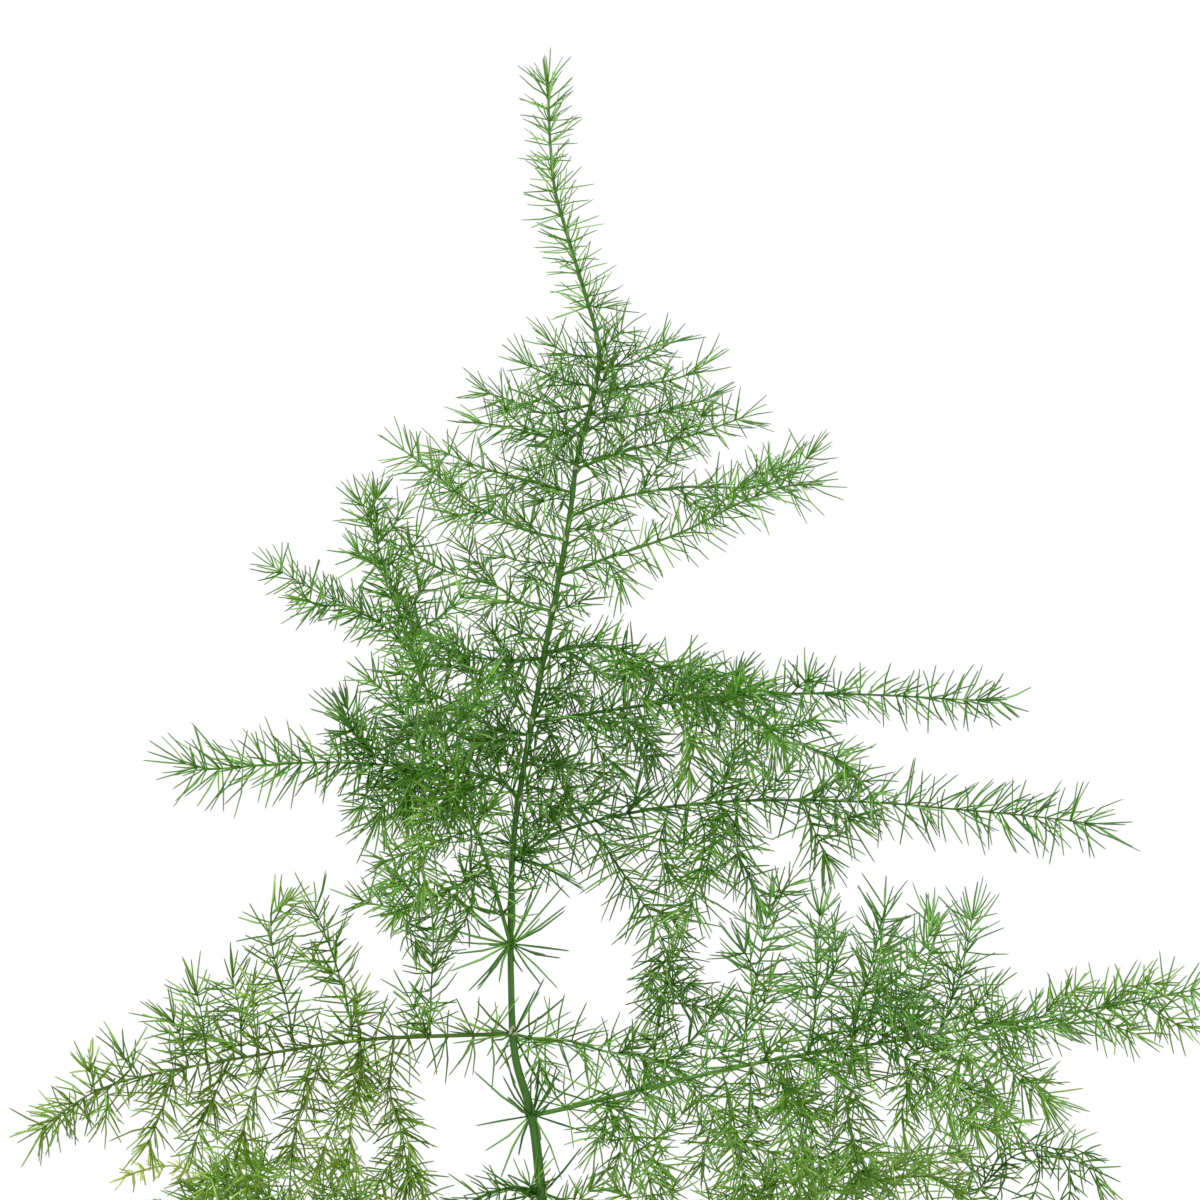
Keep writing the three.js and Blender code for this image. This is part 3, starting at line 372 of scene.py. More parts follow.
# The tall frond's side branches from the lowest up
TALL_BRANCHES = [
    Branch(
        [(0.2, 2), (-4, -2, 2.6), (-9, -5, 2), (-14, -8, 0), (-18, -10, -3)],
        foot=0.6, tone=0.1, cast=0.55, needle=7,
    ),
    Branch(
        [
            (-1.6, 16.6), (6, -1, 18.6), (24, -4, 23.2), (47, -8, 28.4), (72, -11, 32.4), (94, -12, 36),
            (114, -12, 39.2), (132, -12, 42.8), (140, -12, 44.6),
        ],
        foot=0.8, tone=0.45, cast=0.42, needle=8.2, gap=6, bare=5, full=0.4,
        shoots=[(3, 0.12, 0.4, 12), (2, 0.42, 0.7, 12)],
        twigs=[
            [(15, 20.6), (17.6, -3, 16), (20, -6, 10), (22, -8, 4), (23, -9, -2)],
            [(29, 24), (33, 3, 20), (37, 5, 15)], [(36, 26), (38.5, -3, 17), (40, -6, 8), (41, -8, 0)],
            [(40, 27), (41.6, 4, 37), (43.6, 7, 46), (45, 9, 54), (46.6, 10, 62)],
            [(47, 28), (50, -4, 22), (52, -7, 16), (52, -9, 8), (51, -10, -2)],
            [(54, 29.5), (54.8, -4, 38), (55.2, -8, 50), (55.8, -10, 61)],
            [(58, 30), (61, 5, 20), (63, 8, 10), (64, 10, 1)],
            [(62, 31), (64, 3, 40), (67, 6, 50), (69.6, 8, 62)],
            [(64, 31), (67, -7, 41), (73, -11, 47), (77, -13, 53), (79, -14, 59)],
            [(68, 31.6), (76, -3, 27), (84, -6, 24), (91, -8, 20)],
            [(80, 33.4), (81.6, 3, 39), (84.4, 6, 47), (87, 8, 60)],
            [(86, 34.6), (83, -8, 28), (81, -12, 21), (82, -14, 15)],
            [(91, 35.6), (93, 5, 28), (97, 8, 23), (104, 10, 18.5)],
            [(92, 35.8), (98, 7, 34.5), (104, 10, 35.2), (110, 12, 35.4)],
        ],
    ),
    Branch(
        [(-5.8, 33), (0, 3, 32), (6, 6, 31.6), (13, 9, 29.4), (22, 12, 28), (30, 15, 24)],
        foot=0.55, tone=0.4, cast=0.45, crowd=8, needle=8, gap=4, bare=2,
    ),
    Branch(
        [
            (-5.8, 33), (-22, -2, 32.8), (-37, -5, 32), (-58, -9, 29), (-78, -12, 25.4),
            (-88, -13, 22.4), (-95.5, -13, 17.6), (-101.6, -12, 12.4),
        ],
        foot=0.75, cast=0.97, needle=7.3, gap=4.5, bare=3, full=0.2, shoots=[(2, 0.2, 0.75, 10)],
        twigs=[
            [(-22, 32.8), (-21.8, 4, 42), (-21.4, 6, 52), (-22, 8, 62)],
            [(-29, 32.4), (-30, 3, 22), (-27.6, 5, 13), (-26, 6, 1)],
            [(-36, 32), (-36, -5, 24), (-41, -9, 16), (-44.4, -11, 6), (-44.8, -12, 2)],
            [(-37, 32), (-39, 5, 41), (-43, 8, 53), (-46.6, 10, 61)],
            [(-43, 31), (-45.6, 4, 23), (-48.4, 7, 16), (-50, 9, 7)],
            [(-48.6, 30.4), (-50.4, -4, 40), (-53, -7, 50), (-53.6, -9, 61)],
            [(-54, 29.6), (-57.6, -5, 20), (-59.4, -8, 11)], [(-59, 29), (-60, 4, 38), (-62.2, 6, 48)],
            [(-62, 28.4), (-64.6, 4, 22), (-67, 6, 16.5)], [(-66, 27.6), (-67, -4, 36), (-69, -6, 46)],
            [(-70, 27), (-72, 4, 34), (-75, 6, 39)], [(-73, 26.4), (-75, -3, 19), (-79, -5, 9)],
            [(-80, 25), (-83, 4, 29), (-85, 5, 32)],
        ],
    ),
    Branch(
        [
            (-5.8, 51.4), (-10.6, -6, 68), (-15, -13, 80), (-18, -18, 90), (-24, -26, 107),
            (-28.6, -31, 121), (-32.6, -34, 133), (-36.6, -36, 143),
        ],
        foot=0.75, tone=0.32, cast=0.55, crowd=8, needle=5.8, gap=5, bare=6, full=0.3,
        shoots=[(4, 0.2, 0.7, 11)],
        twigs=[
            [(-10, 66), (-18, 4, 62), (-28, 8, 58.6), (-39, 10, 60.4)],
            [(-13, 75), (-20, -5, 72), (-28, -9, 69), (-34, -11, 67.5)],
            [(-16, 83), (-22, -4, 80), (-24, -7, 71), (-22, -9, 60)],
            [(-17, 88), (-27, 5, 86), (-36, 9, 92), (-39.4, 11, 102)],
            [(-19, 93), (-13, -8, 99), (-8, -12, 108)], [(-21.6, 100), (-29, -6, 101), (-36, -9, 107)],
            [(-24, 107), (-31, 7, 115), (-45, 13, 122), (-56, 16, 128.4)],
            [(-26, 113), (-19, -6, 117), (-13, -9, 123)],
            [(-30, 126), (-35, 4, 128.6), (-38, 6, 131.6)],
            [(-34.2, 135), (-32.4, -3, 139), (-30.4, -4, 143)],
        ],
    ),
    Branch(
        [(-5.8, 68.6), (-1, -4, 67.6), (5, -7, 64.6)],
        tone=0.05, cast=0.5, needle=7.5,
    ),
    Branch(
        [
            (-5.8, 68.6), (4, 3, 73.6), (20, 8, 77.6), (40, 13, 79.6), (64, 17, 79.4), (84, 19, 77.8),
            (100, 20, 76.3), (115, 20, 74.4),
        ],
        foot=0.65, tone=0.25, cast=0.45, crowd=8, needle=8.6, gap=4, bare=3, full=0.2,
        twigs=[
            [(10, 75.2), (16, 6, 66), (23, 10, 55), (26, 12, 45), (23, 14, 36)],
            [(18, 77), (19, -4, 80), (20, -7, 83)], [(26, 78.4), (24, 5, 69), (29, 8, 61)],
            [(32, 79), (33, -5, 72), (31, -8, 62), (28.6, -9, 54)],
            [(36, 79.4), (38, 4, 87), (42, 6, 93)], [(40, 79.6), (39, 5, 72), (41, 8, 65)],
            [(36, 79.5), (37, -5, 73)], [(53, 80), (55.8, 4, 72), (59, 6, 65.4)],
            [(60, 79.8), (62, -4, 76), (63, -6, 73)],
        ],
    ),
    Branch(
        [
            (-4, 80), (-9, -2, 84.4), (-24, -5, 86.4), (-40, -7, 87.6), (-54, -8, 87.2),
            (-66, -8, 86.4), (-74, -8, 88.4),
        ],
        foot=0.6, tone=0.27, cast=0.6, crowd=10, needle=8.4, full=0.3, shoots=[(3, 0.02, 0.35, 10)],
        twigs=[
            [(-14, 85), (-18, 6, 78), (-25, 9, 73)], [(-20, 86), (-25, 6, 94), (-30, 9, 101)],
            [(-27, 86.6), (-31, 5, 79), (-34, 8, 73)], [(-33, 87), (-37, -6, 94), (-40, -9, 100)],
        ],
    ),
    Branch(
        [(-2.6, 93), (-8, 3, 94), (-16, 8, 98), (-25, 12, 103.6), (-31, 15, 107)],
        foot=0.6, tone=0.26, cast=0.55, needle=5.8, full=0.3, shoots=[(3, 0.1, 0.8, 10)],
        twigs=[
            [(-10, 95), (-12, 6, 103), (-17, 9, 110)], [(-18, 99), (-24, 5, 94), (-31, 8, 94)],
        ],
    ),
    Branch(
        [
            (-2, 95.2), (12, 4, 97.6), (32, 9, 100.2), (52, 12, 101.2), (70, 14, 100.8), (84, 15, 100),
            (96, 15, 99.6),
        ],
        foot=0.65, tone=0.26, cast=0.42, crowd=8, needle=6.8, full=0.1, shoots=[(4, 0.05, 0.45, 11)],
        twigs=[
            [(8, 97), (12, -5, 90), (18, -8, 85)], [(16, 98.4), (19, 5, 91), (24, 8, 86)],
            [(24, 99.4), (28, 6, 103), (32, 9, 106)], [(32, 100.2), (31, -5, 92), (29, -8, 83)],
            [(42, 100.8), (46, 4, 94), (49, 6, 88)], [(50, 101.2), (53, -4, 103.6), (57, -6, 105.4)],
        ],
    ),
    Branch(
        [(1, 108.6), (-5, -4, 108), (-13, -9, 108.6), (-20, -13, 111), (-26, -16, 116)],
        foot=0.6, tone=0.26, cast=0.55, needle=5.8, full=0.3, shoots=[(2, 0.05, 0.7, 9)],
        twigs=[
            [(-6, 108.4), (-9, -5, 113), (-11, -8, 115)], [(-11, 108.6), (-13, -5, 102), (-18, -8, 98)],
        ],
    ),
    Branch(
        [
            (1, 110), (12, -5, 110.8), (24, -11, 106.6), (38, -17, 98.4), (52, -22, 91.6),
            (62, -25, 86), (68, -26, 78),
        ],
        foot=0.65, cast=0.48, needle=6.4, full=0.1, shoots=[(3, 0.15, 0.7, 10)],
        twigs=[
            [(8, 110.6), (11, 4, 112), (13, 6, 113)], [(15, 110), (18, -5, 103), (24, -8, 98)],
            [(24, 106.6), (30, 6, 107), (36, 9, 105.6)], [(29, 103.6), (29, -5, 95), (32, -8, 88)],
            [(36, 99.6), (43, -5, 102), (49, -7, 101)], [(41, 96.8), (41, 5, 89), (44, 8, 84)],
            [(48, 93.4), (53, 5, 96), (58, 7, 96)], [(56, 89.8), (60, -4, 88), (63, -5, 85)],
        ],
    ),
    Branch(
        [(2.2, 118), (-4, 2, 119.4), (-9, 4, 122.8), (-20, 7, 126.2), (-29, 9, 131)],
        foot=0.55, tone=0.42, needle=6.4, shoots=[(1, 0.05, 0.7, 9)],
    ),
    Branch(
        [
            (4, 125.2), (14, -3, 128.6), (28, -7, 133.4), (40, -9, 139.4), (50, -10, 142.8),
            (57, -10, 143),
        ],
        foot=0.55, tone=0.37, cast=0.45, needle=6.8, shoots=[(2, 0.1, 0.7, 8)],
        twigs=[
            [(43, 141), (48, -3, 146), (52, -4, 150)],
        ],
    ),
    Branch(
        [(4.8, 131.4), (-4, -2, 134.4), (-13, -5, 139), (-22, -7, 146), (-30, -8, 152)],
        foot=0.55, tone=0.4, needle=6.6, shoots=[(3, 0.1, 0.7, 8)],
    ),
    Branch(
        [(6, 136.6), (15, 3, 140.2), (28, 6, 142.6), (42, 8, 142.6), (50, 9, 145), (56.5, 9, 152)],
        foot=0.55, tone=0.33, cast=0.46, shoots=[(2, 0.3, 0.8, 7)],
    ),
    Branch(
        [(6.6, 142), (-2, 3, 143.8), (-13, 6, 147), (-23, 7, 151.5)],
        tone=0.38, cast=0.54, shoots=[(2, 0.2, 0.8, 8)],
    ),
    Branch(
        [(7.6, 146.6), (18, -3, 150), (30, -6, 152.8), (43.5, -8, 157.5)],
        tone=0.3, cast=0.46, shoots=[(2, 0.1, 0.6, 7)],
    ),
    Branch(
        [(9.2, 153), (14, 3, 156.2), (25, 6, 157.8), (37, 8, 161.4)],
        tone=0.3, cast=0.46, shoots=[(2, 0.1, 0.6, 7)],
    ),
    Branch(
        [(9.6, 156.4), (3, -3, 152.6), (-6, -6, 154.4), (-15.5, -8, 156)],
        shoots=[(1, 0.1, 0.6, 7)],
    ),
    Branch(
        [(10.2, 159), (1, 3, 157.4), (-6, 5, 160), (-14, 7, 162.6)],
        shoots=[(1, 0.1, 0.6, 7)],
    ),
    Branch(
        [(11.2, 161), (19, -4, 162.8), (28, -7, 164.4), (35.5, -9, 168.6)],
        tone=0.3, cast=0.48, shoots=[(1, 0.1, 0.6, 7)],
    ),
    Branch(
        [(11.2, 162.4), (4, -3, 164.2), (-6, -6, 168.4)],
        foot=0.45, shoots=[(1, 0.1, 0.6, 7)],
    ),
    Branch(
        [(11.6, 166), (20, 3, 168), (29.4, 5, 173.6)],
        foot=0.45, tone=0.3, cast=0.48, shoots=[(1, 0.1, 0.6, 7)],
    ),
    Branch(
        [(11.6, 168), (5, 3, 169.6), (-0.6, 4, 174)],
        foot=0.45, shoots=[(1, 0.1, 0.6, 7)],
    ),
]

# Short side shoots that fill the tall frond: right, and up from the leafy line
SIDE_SHOOTS = [
    {
        "tone": 0.3, "cast": 0.5, "needle": 5.8,
        "lines": [
            [(-1.8, 95.6), (1, 99), (2.6, 102.8)], [(-4, 82), (0.4, 85), (4, 89.6)],
            [(-4, 80.8), (1.6, 82), (7.6, 82.8)], [(-5.6, 68.6), (-1, 72.4), (3.2, 78.4)],
            [(-3, 88), (2, 87.6), (7, 86)], [(-1.8, 95.6), (2, 93), (4.4, 89.6)],
            [(-0.4, 102), (4, 102), (8, 100)], [(1, 110), (5, 106.4), (9, 102)],
            [(11.6, 170), (15, 172.6), (17.6, 175)], [(9.6, 179), (12, 178.4), (14, 179)],
            [(9, 154), (4, 151), (0, 150)], [(6.4, 142), (2, 140), (-2, 140)],
            [(7, 148), (12, 148.6), (18, 150)], [(-4, 92), (-8, 94), (-11, 93)],
            [(-2, 97), (-6, 100), (-8, 104)], [(-1, 101), (-5, 104), (-6, 109)],
            [(-3, 86), (-8, 88), (-12, 90)], [(1, 112), (-3, 113), (-5, 116)],
            [(3, 122), (0, 124), (-3, 124)], [(-5, 74), (2, 77), (9, 79), (14, 80)],
            [(-4, 80), (4, 79), (12, 84)], [(10.6, 160), (13, 165), (14, 169)],
            [(10, 156), (13, 159), (15, 163)], [(11.6, 164), (12.4, 168), (12.6, 173)],
            [(-20, 148), (-22, 144), (-23, 140)], [(-9, 122.8), (-13, 128), (-16, 132)],
            [(0, 128), (-5, 128), (-9, 130)], [(8, 134), (12, 134), (16, 135)],
            [(15, 108), (20, 106.5), (26, 105)], [(6, 106), (10, 106.5), (14, 105)],
            [(-14, 107), (-19, 110), (-23, 110)], [(-16, 104), (-20, 107), (-25, 107)],
            [(-3, 92), (-8, 92), (-13, 91)], [(2.4, 117.6), (7, 119), (10, 121)],
            [(0, 152), (-5, 156), (-8, 160)], [(5, 143), (0, 145), (-4, 147)],
            [(8, 146), (4, 148), (1, 146)], [(20, 143), (24, 147), (28, 150)],
            [(14, 150), (18, 153), (23, 156)], [(26, 152), (30, 155), (34, 158)],
            [(-24, 94), (-27, 92), (-30, 92)], [(4, 86), (9, 86), (14, 85)],
            [(-4, 89), (-9, 90), (-14, 94)],
        ],
    },
    {
        "tone": 0.28, "cast": 0.6, "needle": 6,
        "lines": [
            [(-14, 64), (-18, 59), (-20, 53)], [(-24, 84), (-27, 80), (-28, 76)],
            [(-34, 84), (-35, 80), (-37, 77)], [(-28, 59), (-26, 54), (-24, 50)],
            [(-28, 86), (-26, 80), (-27, 75)], [(-30.6, 132), (-28.4, 135), (-26, 139)],
            [(-28, 127), (-25.6, 130), (-23, 134)], [(-28, 120), (-30, 125), (-31.4, 129)],
            [(-30.6, 131), (-32, 136), (-33, 141)], [(-38, 119), (-44, 119), (-48, 121)],
            [(-27, 115), (-29, 120), (-31, 126)], [(-22, 62), (-26, 63.6), (-30, 63)],
            [(-24, 60), (-28, 64), (-32, 64)], [(-16, 64), (-13, 67), (-10, 68)],
            [(-12, 64), (-14, 58), (-17, 53)], [(-22, 33), (-25, 38), (-27, 43)],
            [(-26, 116), (-24, 121), (-23, 125)],
        ],
    },
    {
        "tone": 0.46, "cast": 0.85, "needle": 6.2,
        "lines": [
            [(-35, 32), (-35.6, 26), (-36.4, 18)], [(-36, 31), (-37, 22), (-38, 12), (-39, 4)],
            [(-39, 32), (-37, 38), (-35.6, 43)], [(-86, 24), (-86, 20), (-87, 15)],
            [(-88, 20), (-89, 25), (-91, 29)], [(-90, 19), (-94, 18), (-98, 16)],
            [(-70, 27), (-73, 25), (-76, 22)], [(-43, 44), (-46, 48), (-48, 50)],
            [(-56, 30), (-57, 38), (-57, 46)], [(-66, 22), (-68, 14), (-70, 8)],
            [(-28, 20), (-26, 10), (-27, 0)], [(-60, 10), (-58, 4), (-57, -2)],
            [(-30, 10), (-32, 4), (-33, -3)], [(-24, 8), (-23, 2), (-21, -3)],
            [(-52, 8), (-50, 3), (-49, -2)], [(-66, 8), (-67, 2), (-68, -3)],
            [(-53, 58), (-50, 60), (-48, 62)],
        ],
    },
    {
        "tone": 0.32, "cast": 0.6, "needle": 6,
        "lines": [
            [(36, 79.4), (35, 72), (33, 64)], [(36, 99.6), (40, 102), (45, 104)],
            [(14, 97.6), (18, 95.6), (22, 93)], [(23, 27.6), (24, 36), (25.6, 43), (27, 51)],
            [(25.6, 42), (29, 43), (32, 42)], [(13, 103), (15, 105), (18, 106)],
            [(31, 36), (34, 38), (38, 38)], [(28, 32), (33, 34), (36, 40)],
            [(24, 48), (23, 44), (22, 40)], [(-2, 31), (0, 27), (1, 23)],
            [(58, 40), (59, 48), (58, 56)], [(34, 79.6), (37, 84), (40, 87)],
            [(44, 79.6), (48, 84), (51, 87)], [(39, 70), (42, 64), (45, 58)],
            [(45, 60), (49, 62), (52, 64)], [(54, 79.6), (58, 83), (62, 85)],
            [(32, 100), (35, 97), (37, 92)],
        ],
    },
    {
        "tone": 0.42, "cast": 0.7, "needle": 6.2,
        "lines": [
            [(47, 28.4), (49, 22), (50, 14), (52, 6)], [(49, 28), (52, 20), (55, 12), (56.4, 4)],
            [(52, 20), (58, 18), (62, 19)], [(36, 15), (39, 10), (41, 5), (40, 0)],
            [(32, 16), (33, 10), (32, 5)], [(44, 14), (46, 10), (47, 4), (45, 0)],
            [(58, 12), (63, 10), (68, 10)], [(60, 7), (65, 5), (70, 4)], [(61, 12), (62, 6), (63, 0)],
            [(73, 28), (73, 22), (75, 18)], [(78, 28), (77, 22), (78, 18)],
            [(83, 24), (86, 18), (87, 12)], [(88, 22), (92, 18), (96, 14)],
            [(62, 30.4), (63, 38), (66, 45), (69, 50)], [(68, 31.6), (70, 38), (73, 43)],
            [(73, 33), (75, 40), (77, 48), (79, 54)], [(46, 34), (45, 40), (46, 46)],
            [(16, 29), (19, 32), (22, 33)], [(20, 28.4), (23, 25), (25, 23)],
            [(14, 20), (16, 12), (15, 4)], [(12, 24), (13, 16), (10, 8)],
            [(42, 28), (42, 22), (43, 17)], [(110, 38), (115, 35), (121, 33)],
            [(112, 40), (118, 43), (124, 44)], [(34, -6), (34, 0), (35, 5)],
            [(44, 28), (46, 31), (49, 33)], [(100, 37.6), (104, 41), (109, 43)],
            [(120, 40), (126, 36), (131, 35)], [(86, 30), (89, 25), (90, 20)],
            [(72, 24), (72, 18), (73, 13)], [(28, -4), (27, 2), (25, 5)], [(18, -4), (17, 1), (15, 4)],
            [(8, -4), (9, 1), (11, 4)], [(-4, -4), (-2, 2), (1, 6)], [(60, 32), (63, 28), (66, 24)],
            [(56, 34), (60, 31), (64, 28)], [(84, 36), (88, 41), (92, 43)],
            [(50, -4), (51, 2), (50, 8)], [(56, -4), (57, 3), (60, 8)], [(40, -4), (43, 1), (46, 5)],
            [(24, 12), (27, 16), (30, 20)], [(84, 12), (88, 15), (92, 17)],
        ],
    },
]


def unit(vectors):
    return vectors / np.linalg.norm(vectors, axis=-1, keepdims=True)


def line_length(line):
    return float(np.linalg.norm(np.diff(line, axis=0), axis=1).sum())


def resampled(line):
    """The same line with its points evenly spaced, about a step apart."""
    gaps = np.linalg.norm(np.diff(line, axis=0), axis=1)
    along = np.concatenate([[0], np.cumsum(gaps)])
    even = np.linspace(0, along[-1], max(FEWEST_POINTS, round(along[-1] / LINE_STEP) + 1))
    return np.column_stack([np.interp(even, along, line[:, axis]) for axis in range(3)])


def smooth_line(points):
    """A smooth line through the points. Each is passed in the direction between its neighbours."""
    points = np.array(points, float)
    padded = np.vstack([2 * points[0] - points[1], points, 2 * points[-1] - points[-2]])
    share = np.linspace(0, 1, SMOOTHING, endpoint=False)[:, None]
    stretches = []
    for before, start, end, after in zip(padded, padded[1:], padded[2:], padded[3:]):
        leaving = (end - before) / 2
        arriving = (after - start) / 2
        square = 3 * (end - start) - 2 * leaving - arriving
        cube = 2 * (start - end) + leaving + arriving
        stretches.append(start + leaving * share + square * share**2 + cube * share**3)
    return resampled(np.vstack([*stretches, points[-1:]]))


def bezier(*corners):
    """A Bezier curve of any degree, from its corners."""
    share = np.linspace(0, 1, 2 * SMOOTHING)[:, None, None]
    level = np.array(corners, float)[None].repeat(len(share), axis=0)
    while level.shape[1] > 1:
        level = level[:, :-1] * (1 - share) + level[:, 1:] * share
    return level[:, 0]


def frames(line):
    """Direction, side and third axis at each point, turned as little as the line allows."""
    tangents = unit(np.gradient(line, axis=0))
    flattest = np.linalg.svd(line - line.mean(0))[2][-1]
    sides = unit(np.cross(tangents, flattest))
    return tangents, sides, np.cross(tangents, sides)


def picked(values, steps):
    """Values between the rows of an evenly spaced table."""
    lower = np.minimum(steps.astype(int), len(values) - 2)
    rest = (steps - lower)[:, None]
    return values[lower] * (1 - rest) + values[lower + 1] * rest


def heights(points):
    """How far points are above the leafy line."""
    return points[:, 2] - LEAFY_LINE


def nearest(line, x, height):
    """The point of a line that the photograph shows nearest to a place above the leafy line."""
    gaps = np.linalg.norm(line[:, [0, 2]] - (x, LEAFY_LINE + height), axis=1)
    return line[int(gaps.argmin())]


def varied(spread, random, *shape):
    """Random numbers up to the spread to either side of 0."""
    return random.uniform(-spread, spread, *shape)


def turns(count):
    """Evenly spaced angles round a circle, in radians."""
    return 2 * math.pi * np.arange(count) / count


def ring_directions(side, third, angles):
    """Directions round each point, turned from its side to its third axis."""
    return side[:, None] * np.cos(angles)[:, None] + third[:, None] * np.sin(angles)[:, None]


def repeated(faces, count, step):
    """The same faces so many times, each time with their corners a step further on."""
    return (faces[None] + np.arange(count)[:, None, None] * step).reshape(-1, faces.shape[1])


def ring_quads(rings, sides):
    """Quads that join rings of corners, each to the next."""
    side = np.arange(sides)
    following = (side + 1) % sides
    strip = np.column_stack([side, following, following + sides, side + sides])
    return repeated(strip, rings - 1, sides)


def fan(first, sides, point):
    """Triangles from the ring that starts at a corner to a point beyond it."""
    side = np.arange(sides)
    return np.column_stack([side + first, (side + 1) % sides + first, np.full(sides, point)])


def closed_faces(rings, sides):
    """Faces of rings of corners that close to a point at both ends. The two points come last."""
    foot = rings * sides
    ends = [fan(0, sides, foot)[:, [1, 0, 2]], fan(foot - sides, sides, foot + 1)]
    return np.vstack(ends), ring_quads(rings, sides)


def node_places(shoot, reach, random):
    """How far along a shoot its nodes stand, and the gap at each. They crowd towards the tip."""
    places, gaps = [], []
    place = shoot.bare + TUFT_DISTANCE / 2
    while place < reach or not places:
        gap = float(np.interp(place / reach, (0, CROWDED_FROM), (shoot.gap, TUFT_DISTANCE)))
        places.append(min(reach, place + gap * varied(NODE_JITTER, random)))
        gaps.append(gap)
        place += gap
    return np.array(places), np.array(gaps)


def tufts(shoot, random):
    """The needles of a shoot, one row each: a tuft at every node, and one that ends the tip."""
    reach = line_length(shoot.line)
    places, gap = node_places(shoot, reach, random)
    openness = gap / TUFT_DISTANCE
    crowd = np.sqrt(openness) * random.integers(shoot.crowd - 1, shoot.crowd + 2, len(places))
    node = np.repeat(np.arange(len(places)), crowd.round().astype(int))
    count = len(node)
    spread = np.radians(varied(TURN_SPREAD, random, count))
    turn = random.uniform(0, 2 * math.pi) + math.radians(NEEDLE_TURN) * np.arange(count) + spread
    gather = 1 - TIP_GATHER * np.exp((places - reach) / TIP_REACH)
    opened = (openness - 1)[node]
    spread = (1 + opened) * varied(NEEDLE_ANGLE_SPREAD, random, count)
    lean = np.radians(NEEDLE_ANGLE * gather[node] + OPEN_LEAN * opened + spread)
    distance = (places[node] + varied(TUFT_WIDTH, random, count)).clip(0, reach)
    longer = np.append(1 + OPEN_LENGTH * opened, np.ones(TIP_NEEDLES))
    distance = np.append(distance, np.full(TIP_NEEDLES, reach))
    turn = np.append(turn, random.uniform(0, 2 * math.pi, TIP_NEEDLES))
    lean = np.append(lean, np.radians(random.uniform(*TIP_ANGLE, TIP_NEEDLES)))
    lengths = shoot.needle * longer * random.uniform(*NEEDLE_VARIATION, len(longer))
    return needle_rows(shoot, distance, turn, lean, random, NEEDLE_RADIUS, lengths)


def needle_rows(shoot, distance, turn, lean, random, radius, lengths):
    """Rows for needles that stand so far along a shoot, turned round it and leaning out."""
    count = len(distance)
    share = np.clip(distance / line_length(shoot.line), 0, 1)
    steps = share * (len(shoot.line) - 1)
    tangents, sides, thirds = (picked(axis, steps) for axis in frames(shoot.line))
    out = sides * np.cos(turn)[:, None] + thirds * np.sin(turn)[:, None]
    aim = unit(tangents * np.cos(lean)[:, None] + out * np.sin(lean)[:, None])
    inward = tangents - aim * (aim * tangents).sum(1)[:, None]
    bend = inward * random.uniform(*NEEDLE_BEND, count)[:, None]
    bend += varied(NEEDLE_SWAY, random, (count, 3))
    bend[:, 2] -= NEEDLE_DROOP
    root = picked(shoot.line, steps)
    root += out * (NEEDLE_ROOT * np.interp(share, (0, 1), shoot.radii))[:, None]
    tone = shoot.tone + PALING * share + varied(TONE_SPREAD, random, count)
    cast = shoot.cast + varied(CAST_SPREAD, random, count)
    thick = radius * random.uniform(*NEEDLE_THICKNESS, count)
    chance = random.uniform(0, 1, count)
    return np.column_stack([root, aim, bend, lengths, thick, tone, cast, chance, share])


def needle_mesh(rows):
    """Corners, faces and values of slim curved spikes, each closed at its root and its tip."""
    root, aim, bend = rows[:, ROOT], rows[:, AIM], rows[:, BEND]
    length, radius = rows[:, LENGTH, None], rows[:, RADIUS]
    helper = np.where(np.abs(aim[:, 2:]) < NEARLY_UPRIGHT, [[0.0, 0.0, 1.0]], [[1.0, 0.0, 0.0]])
    side = unit(np.cross(aim, helper))
    around = ring_directions(side, np.cross(aim, side), turns(NEEDLE_SIDES))
    rings = []
    for share, width in zip(NEEDLE_SHARES, NEEDLE_WIDTHS):
        middle = root + length * (aim * share + bend * share**2)
        rings.append(middle[:, None] + around * (radius * width)[:, None, None])
    tip = root + length * (aim + bend)
    corners = np.concatenate([*rings, tip[:, None]], axis=1)
    each = corners.shape[1]
    point = each - 1
    triangles = np.vstack([[2, 1, 0], fan(point - NEEDLE_SIDES, NEEDLE_SIDES, point)])
    quads = ring_quads(len(NEEDLE_SHARES), NEEDLE_SIDES)
    along = np.append(np.repeat(NEEDLE_SHARES, NEEDLE_SIDES), 1.0)
    values = {"along": np.tile(along, len(rows))}
    for column, name in enumerate(NEEDLE_VALUES, start=FIRST_VALUE):
        values[name] = np.repeat(rows[:, column], each)
    faces = (repeated(kind, len(rows), each) for kind in (triangles, quads))
    return corners.reshape(-1, 3), *faces, values


def tube(line, radii, sides, ridge):
    """Corners and faces of a round stem along its line, closed to a point at both ends."""
    _, across, third = frames(line)
    angles = turns(sides)
    swell = 1 + ridge * np.cos(angles * sides / 2)
    around = ring_directions(across, third, angles)
    rings = line[:, None] + around * (np.asarray(radii)[:, None] * swell)[:, :, None]
    corners = np.vstack([rings.reshape(-1, 3), line[:1], line[-1:]])
    along = np.append(np.repeat(np.linspace(0, 1, len(line)), sides), [0, 1])
    return corners, *closed_faces(len(line), sides), along


def joined(parts):
    """Several sets of corners, faces and values as one set."""
    offset = 0
    corners, triangles, quads, values = [], [], [], []
    for part in parts:
        corners.append(part[0])
        triangles.append(part[1] + offset)
        quads.append(part[2] + offset)
        values.append(part[3])
        offset += len(part[0])
    together = {name: np.concatenate([value[name] for value in values]) for name in values[0]}
    return np.vstack(corners), np.vstack(triangles), np.vstack(quads), together


